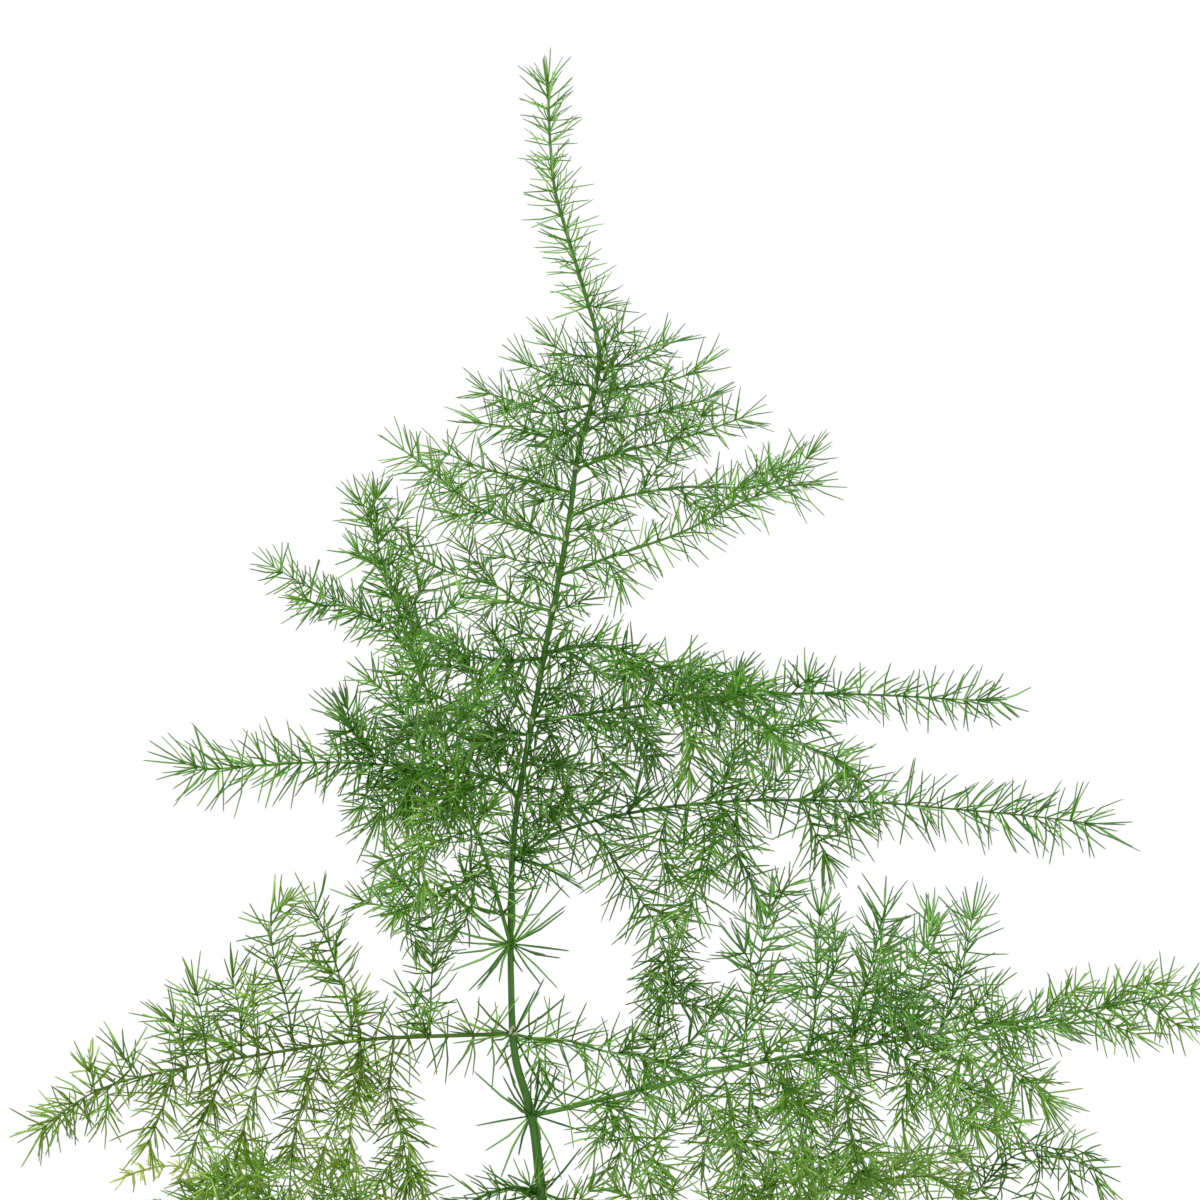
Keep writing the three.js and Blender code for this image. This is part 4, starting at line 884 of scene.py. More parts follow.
def stem_mesh(shoots, random):
    """The stems of all the shoots that have one."""
    parts = []
    for shoot in shoots:
        if shoot.sides:
            radii = shoot.radii
            if len(radii) == 2:
                radii = np.linspace(*radii, len(shoot.line))
            *shape, along = tube(shoot.line, radii, shoot.sides, shoot.ridge)
            values = {
                "along": along,
                "tone": shoot.tone + PALING * along,
                "cast": np.full(len(along), shoot.cast),
                "chance": np.full(len(along), random.uniform(0, 1)),
            }
            parts.append((*shape, values))
    return joined(parts)


def placed(name, data):
    """A new object in the scene."""
    made = bpy.data.objects.new(name, data)
    bpy.context.scene.collection.objects.link(made)
    return made


def new_piece(name, shape, material, node):
    """A mesh object that stands for a node of the solids, in metres."""
    corners, triangles, quads, values = shape
    mesh = bpy.data.meshes.new(name)
    mesh.vertices.add(len(corners))
    mesh.vertices.foreach_set("co", (corners * MM).astype(np.float32).ravel())
    indices = np.concatenate([triangles.ravel(), quads.ravel()]).astype(np.int32)
    sizes = np.repeat([3, 4], [len(triangles), len(quads)])
    mesh.loops.add(len(indices))
    mesh.loops.foreach_set("vertex_index", indices)
    mesh.polygons.add(len(sizes))
    mesh.polygons.foreach_set("loop_start", (np.cumsum(sizes) - sizes).astype(np.int32))
    mesh.polygons.foreach_set("use_smooth", np.ones(len(sizes), bool))
    mesh.update(calc_edges=True)
    for value_name, value in values.items():
        attribute = mesh.attributes.new(value_name, "FLOAT", "POINT")
        attribute.data.foreach_set("value", np.asarray(value, np.float32))
    mesh.materials.append(material)
    piece = placed(name, mesh)
    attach(piece, "root")
    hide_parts(node)


def rooted(x, y):
    """The upright stretch of a stem in the mix, ending just above it."""
    return [(x, y, z) for z in (STEM_FOOT, (STEM_FOOT + STEM_FREE) / 2, STEM_FREE)]


def trimmed(line, length):
    """A line without its last stretch, so that its last needles end where the line did."""
    return line[: max(FEWEST_POINTS, len(line) - round(length / LINE_STEP))]


def tall_point(point, start_depth=0.0):
    return (point[0], start_depth + point[1], LEAFY_LINE + point[2])


def path_from(carrier, points):
    """A smooth line from the nearest point of what carries it through the rest of its points."""
    start = nearest(carrier.line, *points[0])
    line = smooth_line([start, *(tall_point(point, start[1]) for point in points[1:])])
    return trimmed(line, TIP_TRIM)


def arched_line(start, aim, length, arch, droop):
    """A line that arches up at its middle and hangs at its end, by shares of its length."""
    middle = start + aim * length / 2 + np.array([0, 0, arch * length])
    end = start + aim * length - np.array([0, 0, droop * length])
    return resampled(bezier(start, middle, end))


def extra_shoots(carrier, count, first, last, length, random):
    """Shoots that leave a carrier towards the front and the back in turn."""
    made = []
    tangents = frames(carrier.line)[0]
    for i in range(count):
        share = first + (last - first) * (i + random.uniform(*SHOOT_PLACE)) / count
        row = min(len(tangents) - 1, int(share * len(tangents)))
        tangent = tangents[row]
        depth = np.cross(np.cross(tangent, (0, 1, 0)), tangent)
        if np.linalg.norm(depth) < END_ON:
            depth = np.cross(tangent, (1, 0, 0))
        depth = unit(depth) * (1 if i % 2 else -1)
        fan = math.radians(varied(SHOOT_FAN, random))
        out = depth * math.cos(fan) + np.cross(tangent, depth) * math.sin(fan)
        angle = math.radians(random.uniform(*SHOOT_ANGLE))
        aim = tangent * math.cos(angle) + out * math.sin(angle)
        reach = length * random.uniform(1 - SHOOT_LENGTH_SPREAD, 1 + SHOOT_LENGTH_SPREAD)
        made.append(short_shoot(carrier, carrier.line[row], aim, reach, carrier.crowd))
    return made


def short_shoot(carrier, start, aim, length, crowd):
    """A short shoot with needles like those of what carries it."""
    line = arched_line(start, aim, length, SHOOT_ARCH, SHOOT_DROOP)
    return Shoot(line, SHOOT_RADII, carrier.tone, carrier.cast, crowd, carrier.needle)


def stem_nodes():
    """Heights of the tall stem's whorls and side branches above the leafy line."""
    return [whorl[0] for whorl in WHORLS] + [branch.path[0][1] for branch in TALL_BRANCHES]


def tall_stem():
    """The tall stem, a little thicker at its nodes."""
    line = smooth_line([*rooted(*TALL_FOOT), *(tall_point(point) for point in TALL_STEM_PATH)])
    radii = np.interp(heights(line), TALL_STEM_HEIGHTS, TALL_STEM_RADII)
    gaps = np.abs(heights(line)[:, None] - np.array(stem_nodes())).min(axis=1)
    radii *= 1 + NODE_SWELL * np.exp(-((gaps / NODE_SWELL_REACH) ** 2))
    return Shoot(line, radii, **TALL_STEM_LOOK)


def stem_stretch(stem, lowest, highest, look):
    """A stretch of the tall stem as a carrier of needles."""
    height = heights(stem.line)
    line = resampled(stem.line[(height > lowest) & (height < highest)])
    return Shoot(line, sides=0, **look)


def tall_frond(random):
    """The tall frond's stem and all its shoots."""
    stem = tall_stem()
    shoots, carriers = [stem_stretch(stem, LEADER_START, math.inf, LEADER_LOOK)], [stem]
    for entry in TALL_BRANCHES:
        grown, carrying = side_branch(entry, stem, random)
        shoots += grown
        carriers += carrying
    shoots.append(stem_stretch(stem, LEAFY_STEM_FROM, LEADER_START, LEAFY_STEM_LOOK))
    return stem, shoots + side_shoots(carriers, random)


def side_branch(entry, stem, random):
    """A branch with its extra shoots, twigs and twiglets, and those of them that carry others."""
    branch = Shoot(
        path_from(stem, entry.path),
        (entry.foot * BRANCH_SLIMNESS, BRANCH_TIP),
        entry.tone, entry.cast, entry.crowd, entry.needle, entry.bare, BRANCH_SIDES, entry.gap,
    )
    shoots, carriers = [branch], [branch]
    for spread in entry.shoots:
        shoots += extra_shoots(branch, *spread, random)
    for points in entry.twigs:
        line = path_from(branch, points)
        climb = unit(line[-1] - line[0])[2]
        tone, cast = entry.tone - CLIMB_DEPTH * climb, entry.cast - CLIMB_BLUE * climb
        twig = Shoot(line, TWIG_RADII, tone, cast, entry.crowd, entry.needle)
        count = int(entry.full * line_length(line) / TWIGLET_GAP)
        shoots += [twig, *extra_shoots(twig, count, *TWIGLET_SHARES, TWIGLET_LENGTH, random)]
        carriers.append(twig)
    return shoots, carriers


def side_shoots(carriers, random):
    """The short shoots of the table, each from the nearest stem, branch or twig."""
    made = []
    everywhere = np.vstack([carrier.line for carrier in carriers])
    for group in SIDE_SHOOTS:
        for (x, height), *rest in group["lines"]:
            start = nearest(everywhere, x, height)
            swing = varied(SIDE_SHOOT_DEPTH, random)
            depths = start[1] + swing * np.arange(1, len(rest) + 1) / len(rest)
            points = [(x, y, LEAFY_LINE + height) for (x, height), y in zip(rest, depths)]
            line = trimmed(smooth_line([start, *points]), SIDE_SHOOT_TRIM)
            made.append(Shoot(
                line, SHOOT_RADII, group["tone"], group["cast"], SIDE_SHOOT_CROWD,
                group["needle"], SIDE_SHOOT_BARE,
            ))
    return made


def whorl_rows(stem, random):
    """Stars of long needles round the tall stem."""
    rows = []
    reach = line_length(stem.line)
    carrier = Shoot(stem.line, **WHORL_LOOK)
    for height, count, shortest, longest in WHORLS:
        row = int(np.abs(heights(stem.line) - height).argmin())
        distance = np.full(count, reach * row / (len(stem.line) - 1))
        spread = random.uniform(0, WHORL_TURN_SPREAD, count)
        turn = 2 * math.pi * (np.arange(count) + spread) / count
        lean = np.radians(random.uniform(*WHORL_LEAN, count))
        lengths = random.uniform(shortest, longest, count)
        radius = WHORL_NEEDLE_RADIUS
        rows.append(needle_rows(carrier, distance, turn, lean, random, radius, lengths))
    return rows


def seeded_stream(seed):
    """The same stream of numbers from 0 to 1 that shapes the lower fronds' solids."""
    mask = 0xFFFFFFFF
    state = seed
    while True:
        state = (state + 0x6D2B79F5) & mask
        mixed = ((state ^ (state >> 15)) * (1 | state)) & mask
        mixed = ((mixed + (mixed ^ (mixed >> 7)) * (61 | mixed)) & mask) ^ mixed
        yield (mixed ^ (mixed >> 14)) / 2**32


def frond_line(spec):
    """A lower frond's line: upright in the mix, then arching out along its heading."""
    heading = math.radians(spec.heading)
    outward = np.array([math.cos(heading), math.sin(heading), 0])
    upright = rooted(*(outward * spec.foot)[:2])
    turns = [(out * spec.reach, up * spec.rise) for out, up in ((0, 0), ARCH_START, ARCH_TOP)]
    turns.append((spec.reach, spec.rise - spec.droop))
    foot, start, top, end = (upright[-1] + outward * out + np.array([0, 0, up]) for out, up in turns)
    share = np.linspace(0, 1, ARCH_POINTS + 1)[1:, None]
    rest = 1 - share
    arch = foot * rest**3 + 3 * start * rest**2 * share + 3 * top * rest * share**2 + end * share**3
    return smooth_line([*upright, *arch])


def turned_about(vector, axis, angle):
    """A vector turned about an axis, in radians."""
    cosine, sine = math.cos(angle), math.sin(angle)
    return vector * cosine + np.cross(axis, vector) * sine + axis * (axis @ vector) * (1 - cosine)


def lower_frond(spec, seed, random):
    """A lower frond's stem and shoots: its leader, its side branches and twigs, and its tips."""
    line = frond_line(spec)
    split = round(LEAFY_FROM * (len(line) - 1))
    looks = (spec.tone, spec.cast)
    stem = Shoot(line[: split + 1], LOWER_STEM_RADII, *looks, sides=LOWER_STEM_SIDES)
    leader = Shoot(
        line[split:], LOWER_LEADER_RADII, *looks, spec.crowd, spec.needle, LOWER_LEADER_BARE
    )
    shoots = [leader]
    for branch, ahead, length in blade_branches(spec, leader, seeded_stream(seed)):
        shoots += [branch, *blade_twigs(branch, ahead, length, random)]
    return stem, shoots + tip_shoots(leader, spec)


def blade_branches(spec, leader, stream):
    """Side branches left and right of a leader in turn, with its direction and their lengths."""
    reach = line_length(leader.line)
    leafy = reach - LOWER_LEADER_BARE
    count = max(1, round(leafy / LOWER_LEADER_INTERNODE))
    nodes = LOWER_LEADER_BARE + leafy * np.arange(1, count + 1) / count - NODE_BAND
    starts = (nodes[:-1] + nodes[1:]) / 2
    tangents = frames(leader.line)[0]
    for i, distance in enumerate(starts):
        steps = np.array([distance / reach * (len(leader.line) - 1)])
        start = picked(leader.line, steps)[0]
        tangent = unit(picked(tangents, steps)[0])
        across = turned_about(
            unit(np.cross((0, 0, 1), tangent)), tangent, math.radians(spec.roll)
        ) * (1 if i % 2 == 0 else -1)
        fan = math.radians(BRANCH_FAN + BRANCH_FAN_SPREAD * (2 * next(stream) - 1))
        aim = across * math.cos(fan) + tangent * math.sin(fan)
        swell = math.sin(math.pi * (SWELL_FROM + SWELL_RANGE * i / len(starts)))
        length = spec.spread * swell * (1 + LENGTH_SPREAD * (2 * next(stream) - 1))
        line = arched_line(start, aim, length, BRANCH_ARCH, BRANCH_DROOP)
        branch = Shoot(
            line, LOWER_BRANCH_RADII, spec.tone, spec.cast, spec.crowd, spec.needle
        )
        yield branch, tangent, length


def blade_twigs(branch, ahead, length, random):
    """Twigs left and right of a lower frond's side branch, in the frond's own plane."""
    made = []
    along = unit(branch.line[-1] - branch.line[0])
    inplane = unit(ahead - along * (ahead @ along))
    distance = LOWER_TWIG_FIRST
    side = 1
    while distance < length - LOWER_TWIG_LAST:
        share = distance / length
        start = branch.line[int(share * (len(branch.line) - 1))]
        angle = math.radians(random.uniform(*SHOOT_ANGLE))
        out = unit(inplane * side + np.array([0, 0, varied(LOWER_TWIG_TILT, random)]))
        aim = along * math.cos(angle) + out * math.sin(angle)
        reach = LOWER_TWIG_LENGTH * (1 - LOWER_TWIG_FALL * share)
        reach *= random.uniform(*LOWER_TWIG_VARIATION)
        made.append(short_shoot(branch, start, aim, reach, branch.crowd - 1))
        distance += LOWER_TWIG_GAP
        side = -side
    return made


def tip_shoots(leader, spec):
    """The last, longest shoots of a lower frond, pale where young and dark where old."""
    made = []
    carrier = leader.line
    looks = (TWIG_RADII, spec.tip_tone, spec.cast, spec.crowd, spec.tip_needle)
    for points in spec.tips:
        start = nearest(carrier, *points[0])
        line = smooth_line([start, *((x, start[1], LEAFY_LINE + height) for x, height in points)])
        carrier = np.vstack([carrier, line])
        made.append(Shoot(line, *looks))
    return made


def outer_radius(height):
    under_band = POT_RIM_RADIUS - RIM_BAND_STEP
    return POT_FOOT_RADIUS + (under_band - POT_FOOT_RADIUS) * height / POT_HEIGHT


def inner_radius(height):
    return outer_radius(height) - POT_WALL


def revolved(profile, sides, reshape):
    """A closed body of revolution from an axis-to-axis profile of (radius, height) rows."""
    radius, height = np.array(profile[1:-1]).T
    corners = np.stack([
        radius[:, None] * np.cos(turns(sides)),
        radius[:, None] * np.sin(turns(sides)),
        np.repeat(height[:, None], sides, axis=1),
    ], axis=-1).reshape(-1, 3)
    ends = [(0, 0, profile[0][1]), (0, 0, profile[-1][1])]
    corners = reshape(np.vstack([corners, ends]))
    return corners, *closed_faces(len(radius), sides), {"along": corners[:, 2] / POT_HEIGHT}


def softened(profile, rounding):
    """A profile with its inner corners rounded, and with points a short step apart."""
    points = np.array(profile, float)
    line = [points[:1]]
    for before, corner, after in zip(points, points[1:], points[2:]):
        ends = []
        for other in (before, after):
            cut = min(rounding, np.linalg.norm(other - corner) / 2)
            ends.append(corner + unit(other - corner) * cut)
        line.append(bezier(ends[0], corner, ends[1])[::ROUNDING_STEP])
    line.append(points[-1:])
    corners = np.vstack(line)
    filled = []
    for start, end in zip(corners, corners[1:]):
        count = max(1, math.ceil(np.linalg.norm(end - start) / POT_STEP))
        filled.append(start + (end - start) * np.arange(count)[:, None] / count)
    return np.vstack([*filled, corners[-1:]])


def noise_at(corners, size):
    """Smooth noise from -1 to 1, with lumps of about the given size."""
    return np.array([noise.noise(Vector(corner) / size) for corner in corners])


def pot_shape():
    band_foot = POT_HEIGHT - RIM_BAND_HEIGHT
    profile = [
        (0, 0),
        (POT_FOOT_RADIUS, 0),
        (outer_radius(band_foot), band_foot),
        (POT_RIM_RADIUS, band_foot),
        (POT_RIM_RADIUS, POT_HEIGHT),
        (inner_radius(POT_HEIGHT), POT_HEIGHT),
        (inner_radius(POT_FLOOR), POT_FLOOR),
        (0, POT_FLOOR),
    ]

    def hand_made(corners):
        radius = np.linalg.norm(corners[:, :2], axis=1)
        wall = (radius > POT_FOOT_RADIUS / 2) & (corners[:, 2] > RIM_ROUNDING)
        rings = THROWING_DEPTH * np.sin(2 * math.pi * corners[:, 2] / THROWING_RING)
        uneven = POT_UNEVENNESS * noise_at(corners, POT_WAVE)
        change = np.where(wall, (rings * (corners[:, 2] < band_foot) + uneven) / radius.clip(1), 0)
        corners[:, :2] *= (1 + change)[:, None]
        return corners

    return revolved(softened(profile, RIM_ROUNDING), POT_SIDES, hand_made)


def mix_height(x, y):
    """The uneven top of the mix, as in the solid."""
    share = np.hypot(x, y) / (inner_radius(MIX_TOP) - CLEARANCE)

    def wave(place, wavelength):
        return np.sin(2 * math.pi * place / wavelength)

    lumps = wave(x, LUMP_LENGTH["x"]) * wave(y, LUMP_LENGTH["y"])
    lumps = lumps + wave(x + 2 * y, LUMP_LENGTH["slant"])
    return MIX_TOP + MIX_MOUND * (1 - share**2) + MIX_RELIEF * lumps * (1 - share**WALL_FADE)


def mix_shape():
    bottom = POT_FLOOR + CLEARANCE
    top_radius = inner_radius(MIX_TOP) - CLEARANCE
    edge = (top_radius, MIX_TOP - MIX_EDGE)
    profile = [(0, bottom), (inner_radius(bottom) - CLEARANCE, bottom), edge]
    profile += [(top_radius * ring / MIX_RINGS, MIX_TOP) for ring in range(MIX_RINGS, -1, -1)]

    def uneven(corners):
        top = corners[:, 2] == MIX_TOP
        x, y = corners[top, 0], corners[top, 1]
        grain = GRAIN_RELIEF * noise_at(corners[top], GRAIN_SIZE)
        grain += GRAIN_RELIEF * noise_at(corners[top] + POT_HEIGHT, FINE_GRAIN_SIZE)
        corners[top, 2] = mix_height(x, y) + grain
        return corners

    return revolved(profile, MIX_SIDES, uneven)


def lump(detail):
    """The corners and faces of a round lump of radius 1."""
    ball = bmesh.new()
    bmesh.ops.create_icosphere(ball, subdivisions=detail, radius=1)
    corners = np.array([corner.co[:] for corner in ball.verts])
    faces = np.array([[corner.index for corner in face.verts] for face in ball.faces])
    ball.free()
    return corners, faces


def turned(corners, angles, first, second):
    """Each lump's corners turned by its angle, from the first axis towards the second."""
    cosine, sine = np.cos(angles)[:, None], np.sin(angles)[:, None]
    made = corners.copy()
    made[..., first] = corners[..., first] * cosine - corners[..., second] * sine
    made[..., second] = corners[..., first] * sine + corners[..., second] * cosine
    return made


def crumb_shapes(random, count, sizes, flatness, detail):
    """Crumbs or bark chips that lie half sunk on the mix, clear of the pot's wall."""
    ball, faces = lump(detail)
    limit = inner_radius(MIX_TOP) - CLEARANCE - 2 * sizes[1]
    radius = limit * np.sqrt(random.uniform(0, 1, count))
    angle = random.uniform(0, 2 * math.pi, count)
    x, y = radius * np.cos(angle), radius * np.sin(angle)
    size = sizes[0] + (sizes[1] - sizes[0]) * random.uniform(0, 1, count) ** 2
    stretch = np.column_stack([
        random.uniform(1, 1 + flatness, count),
        random.uniform(CRUMB_NARROWEST, 1, count),
        random.uniform(1 - flatness, 1, count).clip(CRUMB_THINNEST),
    ])
    rough = 1 + CRUMB_ROUGHNESS * random.uniform(-1, 1, (count, len(ball), 1))
    corners = ball[None] * rough * (stretch * size[:, None])[:, None]
    turn = random.uniform(0, 2 * math.pi, count)
    tilt = random.normal(0, CRUMB_TILT_RADIANS, count)
    corners = turned(turned(corners, tilt, 0, 2), turn, 0, 1)
    height = mix_height(x, y) + CRUMB_SINK * size
    corners += np.column_stack([x, y, height])[:, None]
    triangles = repeated(faces, count, len(ball))
    values = {"chance": np.repeat(random.uniform(0, 1, count), len(ball))}
    return corners.reshape(-1, 3), triangles, np.empty((0, 4), int), values


def scale_leaf(place, tangent, out, radius, long):
    """The corners of one scale leaf: at each ring, the inner skin and then the outer one."""
    across = np.cross(tangent, out)
    corners = []
    for along in np.linspace(0, 1, SCALE_RINGS):
        belly = 1 + SCALE_BELLY * math.sin(math.pi * along)
        half = radius * SCALE_WIDTH * (1 - along) ** SCALE_TAPER * belly
        lift = radius * (1.0 + SCALE_LIFT * along**2)
        cup = SCALE_CUP * radius * (1 - along)
        middle = place + tangent * long * (along - SCALE_FOOT)
        for skin in (0, SCALE_THICKNESS):
            for share in (-1, 0, 1):
                raised = lift + skin - cup * abs(share)
                corners.append(middle + across * half * share + out * raised)
    return np.array(corners)


def scale_faces():
    """Quads round a scale leaf's rings of corners, and across its foot and its tip."""
    around = [0, 1, 2, 5, 4, 3]
    each = len(around)
    top = (SCALE_RINGS - 1) * each
    quads = []
    for low in range(0, top, each):
        for a, b in zip(around, around[1:] + around[:1]):
            quads.append([low + a, low + b, low + each + b, low + each + a])
    quads += [[0, 3, 4, 1], [1, 4, 5, 2]]
    quads += [[top, top + 1, top + 4, top + 3], [top + 1, top + 2, top + 5, top + 4]]
    return np.array(quads)


def scale_shapes(stem):
    """A small papery scale leaf at each of the tall stem's nodes, curved round the stem."""
    parts = []
    tangents, sides, thirds = frames(stem.line)
    faces = scale_faces()
    for i, node in enumerate(sorted(set(stem_nodes()))):
        row = int(np.abs(heights(stem.line) - node).argmin())
        facing = SCALE_TURN_RADIANS * i
        out = sides[row] * math.cos(facing) + thirds[row] * math.sin(facing)
        radius = float(stem.radii[row])
        long = SCALE_LENGTH * radius / stem.radii[0]
        corners = scale_leaf(stem.line[row], tangents[row], out, radius, long)
        along = np.linspace(0, 1, SCALE_RINGS)
        values = {"along": np.repeat(along, len(corners) // SCALE_RINGS)}
        parts.append((corners, np.empty((0, 3), int), faces, values))
    return joined(parts)


class Surface:
    """A material whose nodes are made one at a time. Plain numbers go on the shader's sockets."""

    def __init__(self, name, **numbers):
        self.material = bpy.data.materials.new(name)
        self.material.use_nodes = True
        self.tree = self.material.node_tree
        self.shader = self.tree.nodes["Principled BSDF"]
        for socket, value in numbers.items():
            self.shader.inputs[socket.replace("_", " ")].default_value = value

    def feed(self, socket, value):
        """Gives a socket a number, a colour, or the output of another node."""
        if isinstance(value, bpy.types.NodeSocket):
            self.tree.links.new(value, socket)
        elif socket.type == "RGBA":
            socket.default_value = (*value[:3], 1)
        else:
            socket.default_value = value

    def add(self, kind, settings=None, **inputs):
        """A node with its inputs by name, or by number after a line."""
        node = self.tree.nodes.new(f"ShaderNode{kind}")
        for name, value in (settings or {}).items():
            setattr(node, name, value)
        for name, value in inputs.items():
            key = int(name[1:]) if name[1:].isdigit() else name.replace("_", " ")
            self.feed(node.inputs[key], value)
        return node

    def value(self, name):
        """A number that the mesh holds at each corner."""
        return self.add("Attribute", {"attribute_name": name}).outputs["Fac"]

    def grain(self, scale, detail=4.0, roughness=0.55, stretch=None):
        """Noise with so many lumps to a metre."""
        place = self.add("TexCoord").outputs["Object"]
        if stretch:
            place = self.add("Mapping", Vector=place, Scale=stretch).outputs["Vector"]
        made = self.add("TexNoise", Vector=place, Scale=scale, Detail=detail, Roughness=roughness)
        return made.outputs["Fac"]

    def ramp(self, factor, stops):
        """Colours, or greys for plain numbers, at places from 0 to 1."""
        node = self.add("ValToRGB", Fac=factor)
        bar = node.color_ramp.elements
        while len(bar) < len(stops):
            bar.new(0.5)
        for element, (place, colour) in zip(bar, stops):
            element.position = place
            if isinstance(colour, (int, float)):
                colour = (colour, colour, colour)
            element.color = (*colour, 1)
        return node.outputs["Color"]

    def scaled(self, value, low, high):
        """A number from 0 to 1 spread between two others."""
        return self.add("MapRange", Value=value, To_Min=low, To_Max=high).outputs["Result"]

    def maths(self, operation, first, second):
        return self.add("Math", {"operation": operation}, _0=first, _1=second).outputs["Value"]

    def mixed(self, blend, factor, first, second):
        settings = {"data_type": "RGBA", "blend_type": blend}
        return self.add("Mix", settings, _0=factor, _6=first, _7=second).outputs[2]

    def finished(self, colour, fine, roughness, relief=None, bump=None):
        """The material with its colour, its roughness along a fine noise, and a relief that bumps
        it by a strength and a depth in metres."""
        self.feed(self.shader.inputs["Base Color"], colour)
        self.feed(self.shader.inputs["Roughness"], self.scaled(fine, *roughness))
        if bump:
            strength, distance = bump
            made = self.add("Bump", Strength=strength, Distance=distance, Height=relief)
            self.feed(self.shader.inputs["Normal"], made.outputs["Normal"])
        return self.material


# How bright a needle is at its root and at its tip
NEEDLE_FADE = (1.35, 1.0)
# Most needles are full green, and a few among them are pale and bright: partly young needles, partly a
# painted highlight for light shining through the needles
YOUNG_AND_LIT_POWER = 3.0
YOUNG_AND_LIT_GREEN = (0.40, 0.66, 0.20)
YOUNG_AND_LIT_PALENESS = 0.55
NEEDLE_BRIGHTNESS = (0.78, 1.9)
# Needles grey towards their tips, most on the outer ends of bluish twigs
GREYING = (0.15, 0.75)
GREYING_OF_CAST = (1.5, 0.1)
GREYING_POWER = 1.6
BLUISH_GREY = (0.105, 0.185, 0.170)
OLIVE_GREY = (0.170, 0.190, 0.110)
# The greens from the deepest tone to the youngest, and what the casts make of them
GREENS = (
    (0.0, (0.026, 0.135, 0.004)),
    (0.3, (0.064, 0.250, 0.008)),
    (0.6, (0.150, 0.385, 0.030)),
    (1.0, (0.520, 0.720, 0.210)),
)
BLUISH = (0.82, 1.00, 1.40)
OLIVE = (1.35, 1.04, 0.58)
# The most olive of the branches is also duller than the others
DULL = (1.20, 0.84, 1.15)
DULL_POWER = 6.0
MOTTLE_GRAIN = 700
MOTTLE = (0.82, 1.18)
STEM_BRIGHTNESS = (0.58, 0.78)
STEM_STREAKS = ((0.55, 0.0), (0.8, 0.4))
STEM_PALE = (0.24, 0.36, 0.12)
PAPER = ((0.3, (0.34, 0.46, 0.22)), (0.7, (0.62, 0.68, 0.44)))
PAPER_TIP = (0.30, 0.20, 0.10)
PAPER_TIP_POWER = 3.0
CLAY = ((0.3, (0.36, 0.115, 0.050)), (0.55, (0.46, 0.160, 0.075)), (0.75, (0.54, 0.215, 0.115)))
CLAY_SPECKS = ((0.66, 0.0), (0.74, 0.5))
CLAY_SPECK = (0.22, 0.075, 0.040)
CLAY_BODY_RELIEF = 0.35
# The lime bloom on the pot comes in clouds, and most at its foot and its rim
LIME = (0.66, 0.52, 0.44)
LIME_CLOUDS = ((0.5, 0.0), (0.72, 0.6))
LIME_UP_THE_POT = ((0.0, 1.0), (0.25, 0.25), (0.8, 0.15), (1.0, 0.7))
PEAT = ((0.3, (0.012, 0.007, 0.004)), (0.52, (0.035, 0.020, 0.011)), (0.75, (0.085, 0.048, 0.024)))
# Crumbs are peat, bark, and a few white grains
CRUMB_COLOURS = (
    (0.0, (0.022, 0.012, 0.007)),
    (0.5, (0.060, 0.032, 0.016)),
    (0.8, (0.130, 0.068, 0.032)),
    (0.95, (0.20, 0.12, 0.06)),
    (0.97, (0.62, 0.60, 0.54)),
)
FIBRE_SHADE = ((0.3, 0.5), (0.7, 1.0))
FLOOR_GREYS = ((0.3, (0.80, 0.80, 0.79)), (0.7, (0.83, 0.83, 0.82)))


def green(surface, brightness):
    """The plant's green at a corner, from its tone, its cast and how bright it is."""
    colour = surface.ramp(surface.value("tone"), GREENS)
    cast = surface.mixed("MIX", surface.value("cast"), BLUISH, OLIVE)
    colour = surface.mixed("MULTIPLY", 1.0, colour, cast)
    dull = surface.maths("POWER", surface.value("cast"), DULL_POWER)
    colour = surface.mixed("MULTIPLY", dull, colour, DULL)
    mottle = surface.scaled(surface.grain(MOTTLE_GRAIN), *MOTTLE)
    both = surface.maths("MULTIPLY", mottle, brightness)
    return surface.mixed("MULTIPLY", 1.0, colour, both)


def needle_surface():
    surface = Surface("needle_green", Specular_IOR_Level=0.1)
    # A few needles are made pale and bright: partly young growth, partly painted highlight for light
    # shining through them
    young = surface.maths("POWER", surface.value("chance"), YOUNG_AND_LIT_POWER)
    colour = green(surface, surface.scaled(young, *NEEDLE_BRIGHTNESS))
    colour = surface.mixed("MIX", surface.scaled(young, 0.0, YOUNG_AND_LIT_PALENESS), colour, YOUNG_AND_LIT_GREEN)
    along, cast = surface.value("along"), surface.value("cast")
    colour = surface.mixed("MULTIPLY", 1.0, colour, surface.scaled(along, *NEEDLE_FADE))
    greying = surface.maths("POWER", along, GREYING_POWER)
    outer = surface.scaled(surface.value("outer"), *GREYING)
    greying = surface.maths("MULTIPLY", greying, outer)
    greying = surface.maths("MULTIPLY", greying, surface.scaled(cast, *GREYING_OF_CAST))
    grey = surface.mixed("MIX", cast, BLUISH_GREY, OLIVE_GREY)
    colour = surface.mixed("MIX", greying, colour, grey)
    fine, relief = surface.grain(scale=1500), surface.grain(scale=4000, detail=2.0)
    return surface.finished(colour, fine, roughness=(0.42, 0.62), relief=relief, bump=(0.25, 0.00005))


def stem_surface():
    surface = Surface("stem_green", Specular_IOR_Level=0.4)
    colour = green(surface, surface.scaled(surface.value("chance"), *STEM_BRIGHTNESS))
    streaks = surface.grain(scale=2600, detail=3.0, roughness=0.6, stretch=(1, 1, 0.06))
    colour = surface.mixed("MIX", surface.ramp(streaks, STEM_STREAKS), colour, STEM_PALE)
    return surface.finished(
        colour, streaks, roughness=(0.34, 0.56), relief=streaks, bump=(0.4, 0.00012)
    )


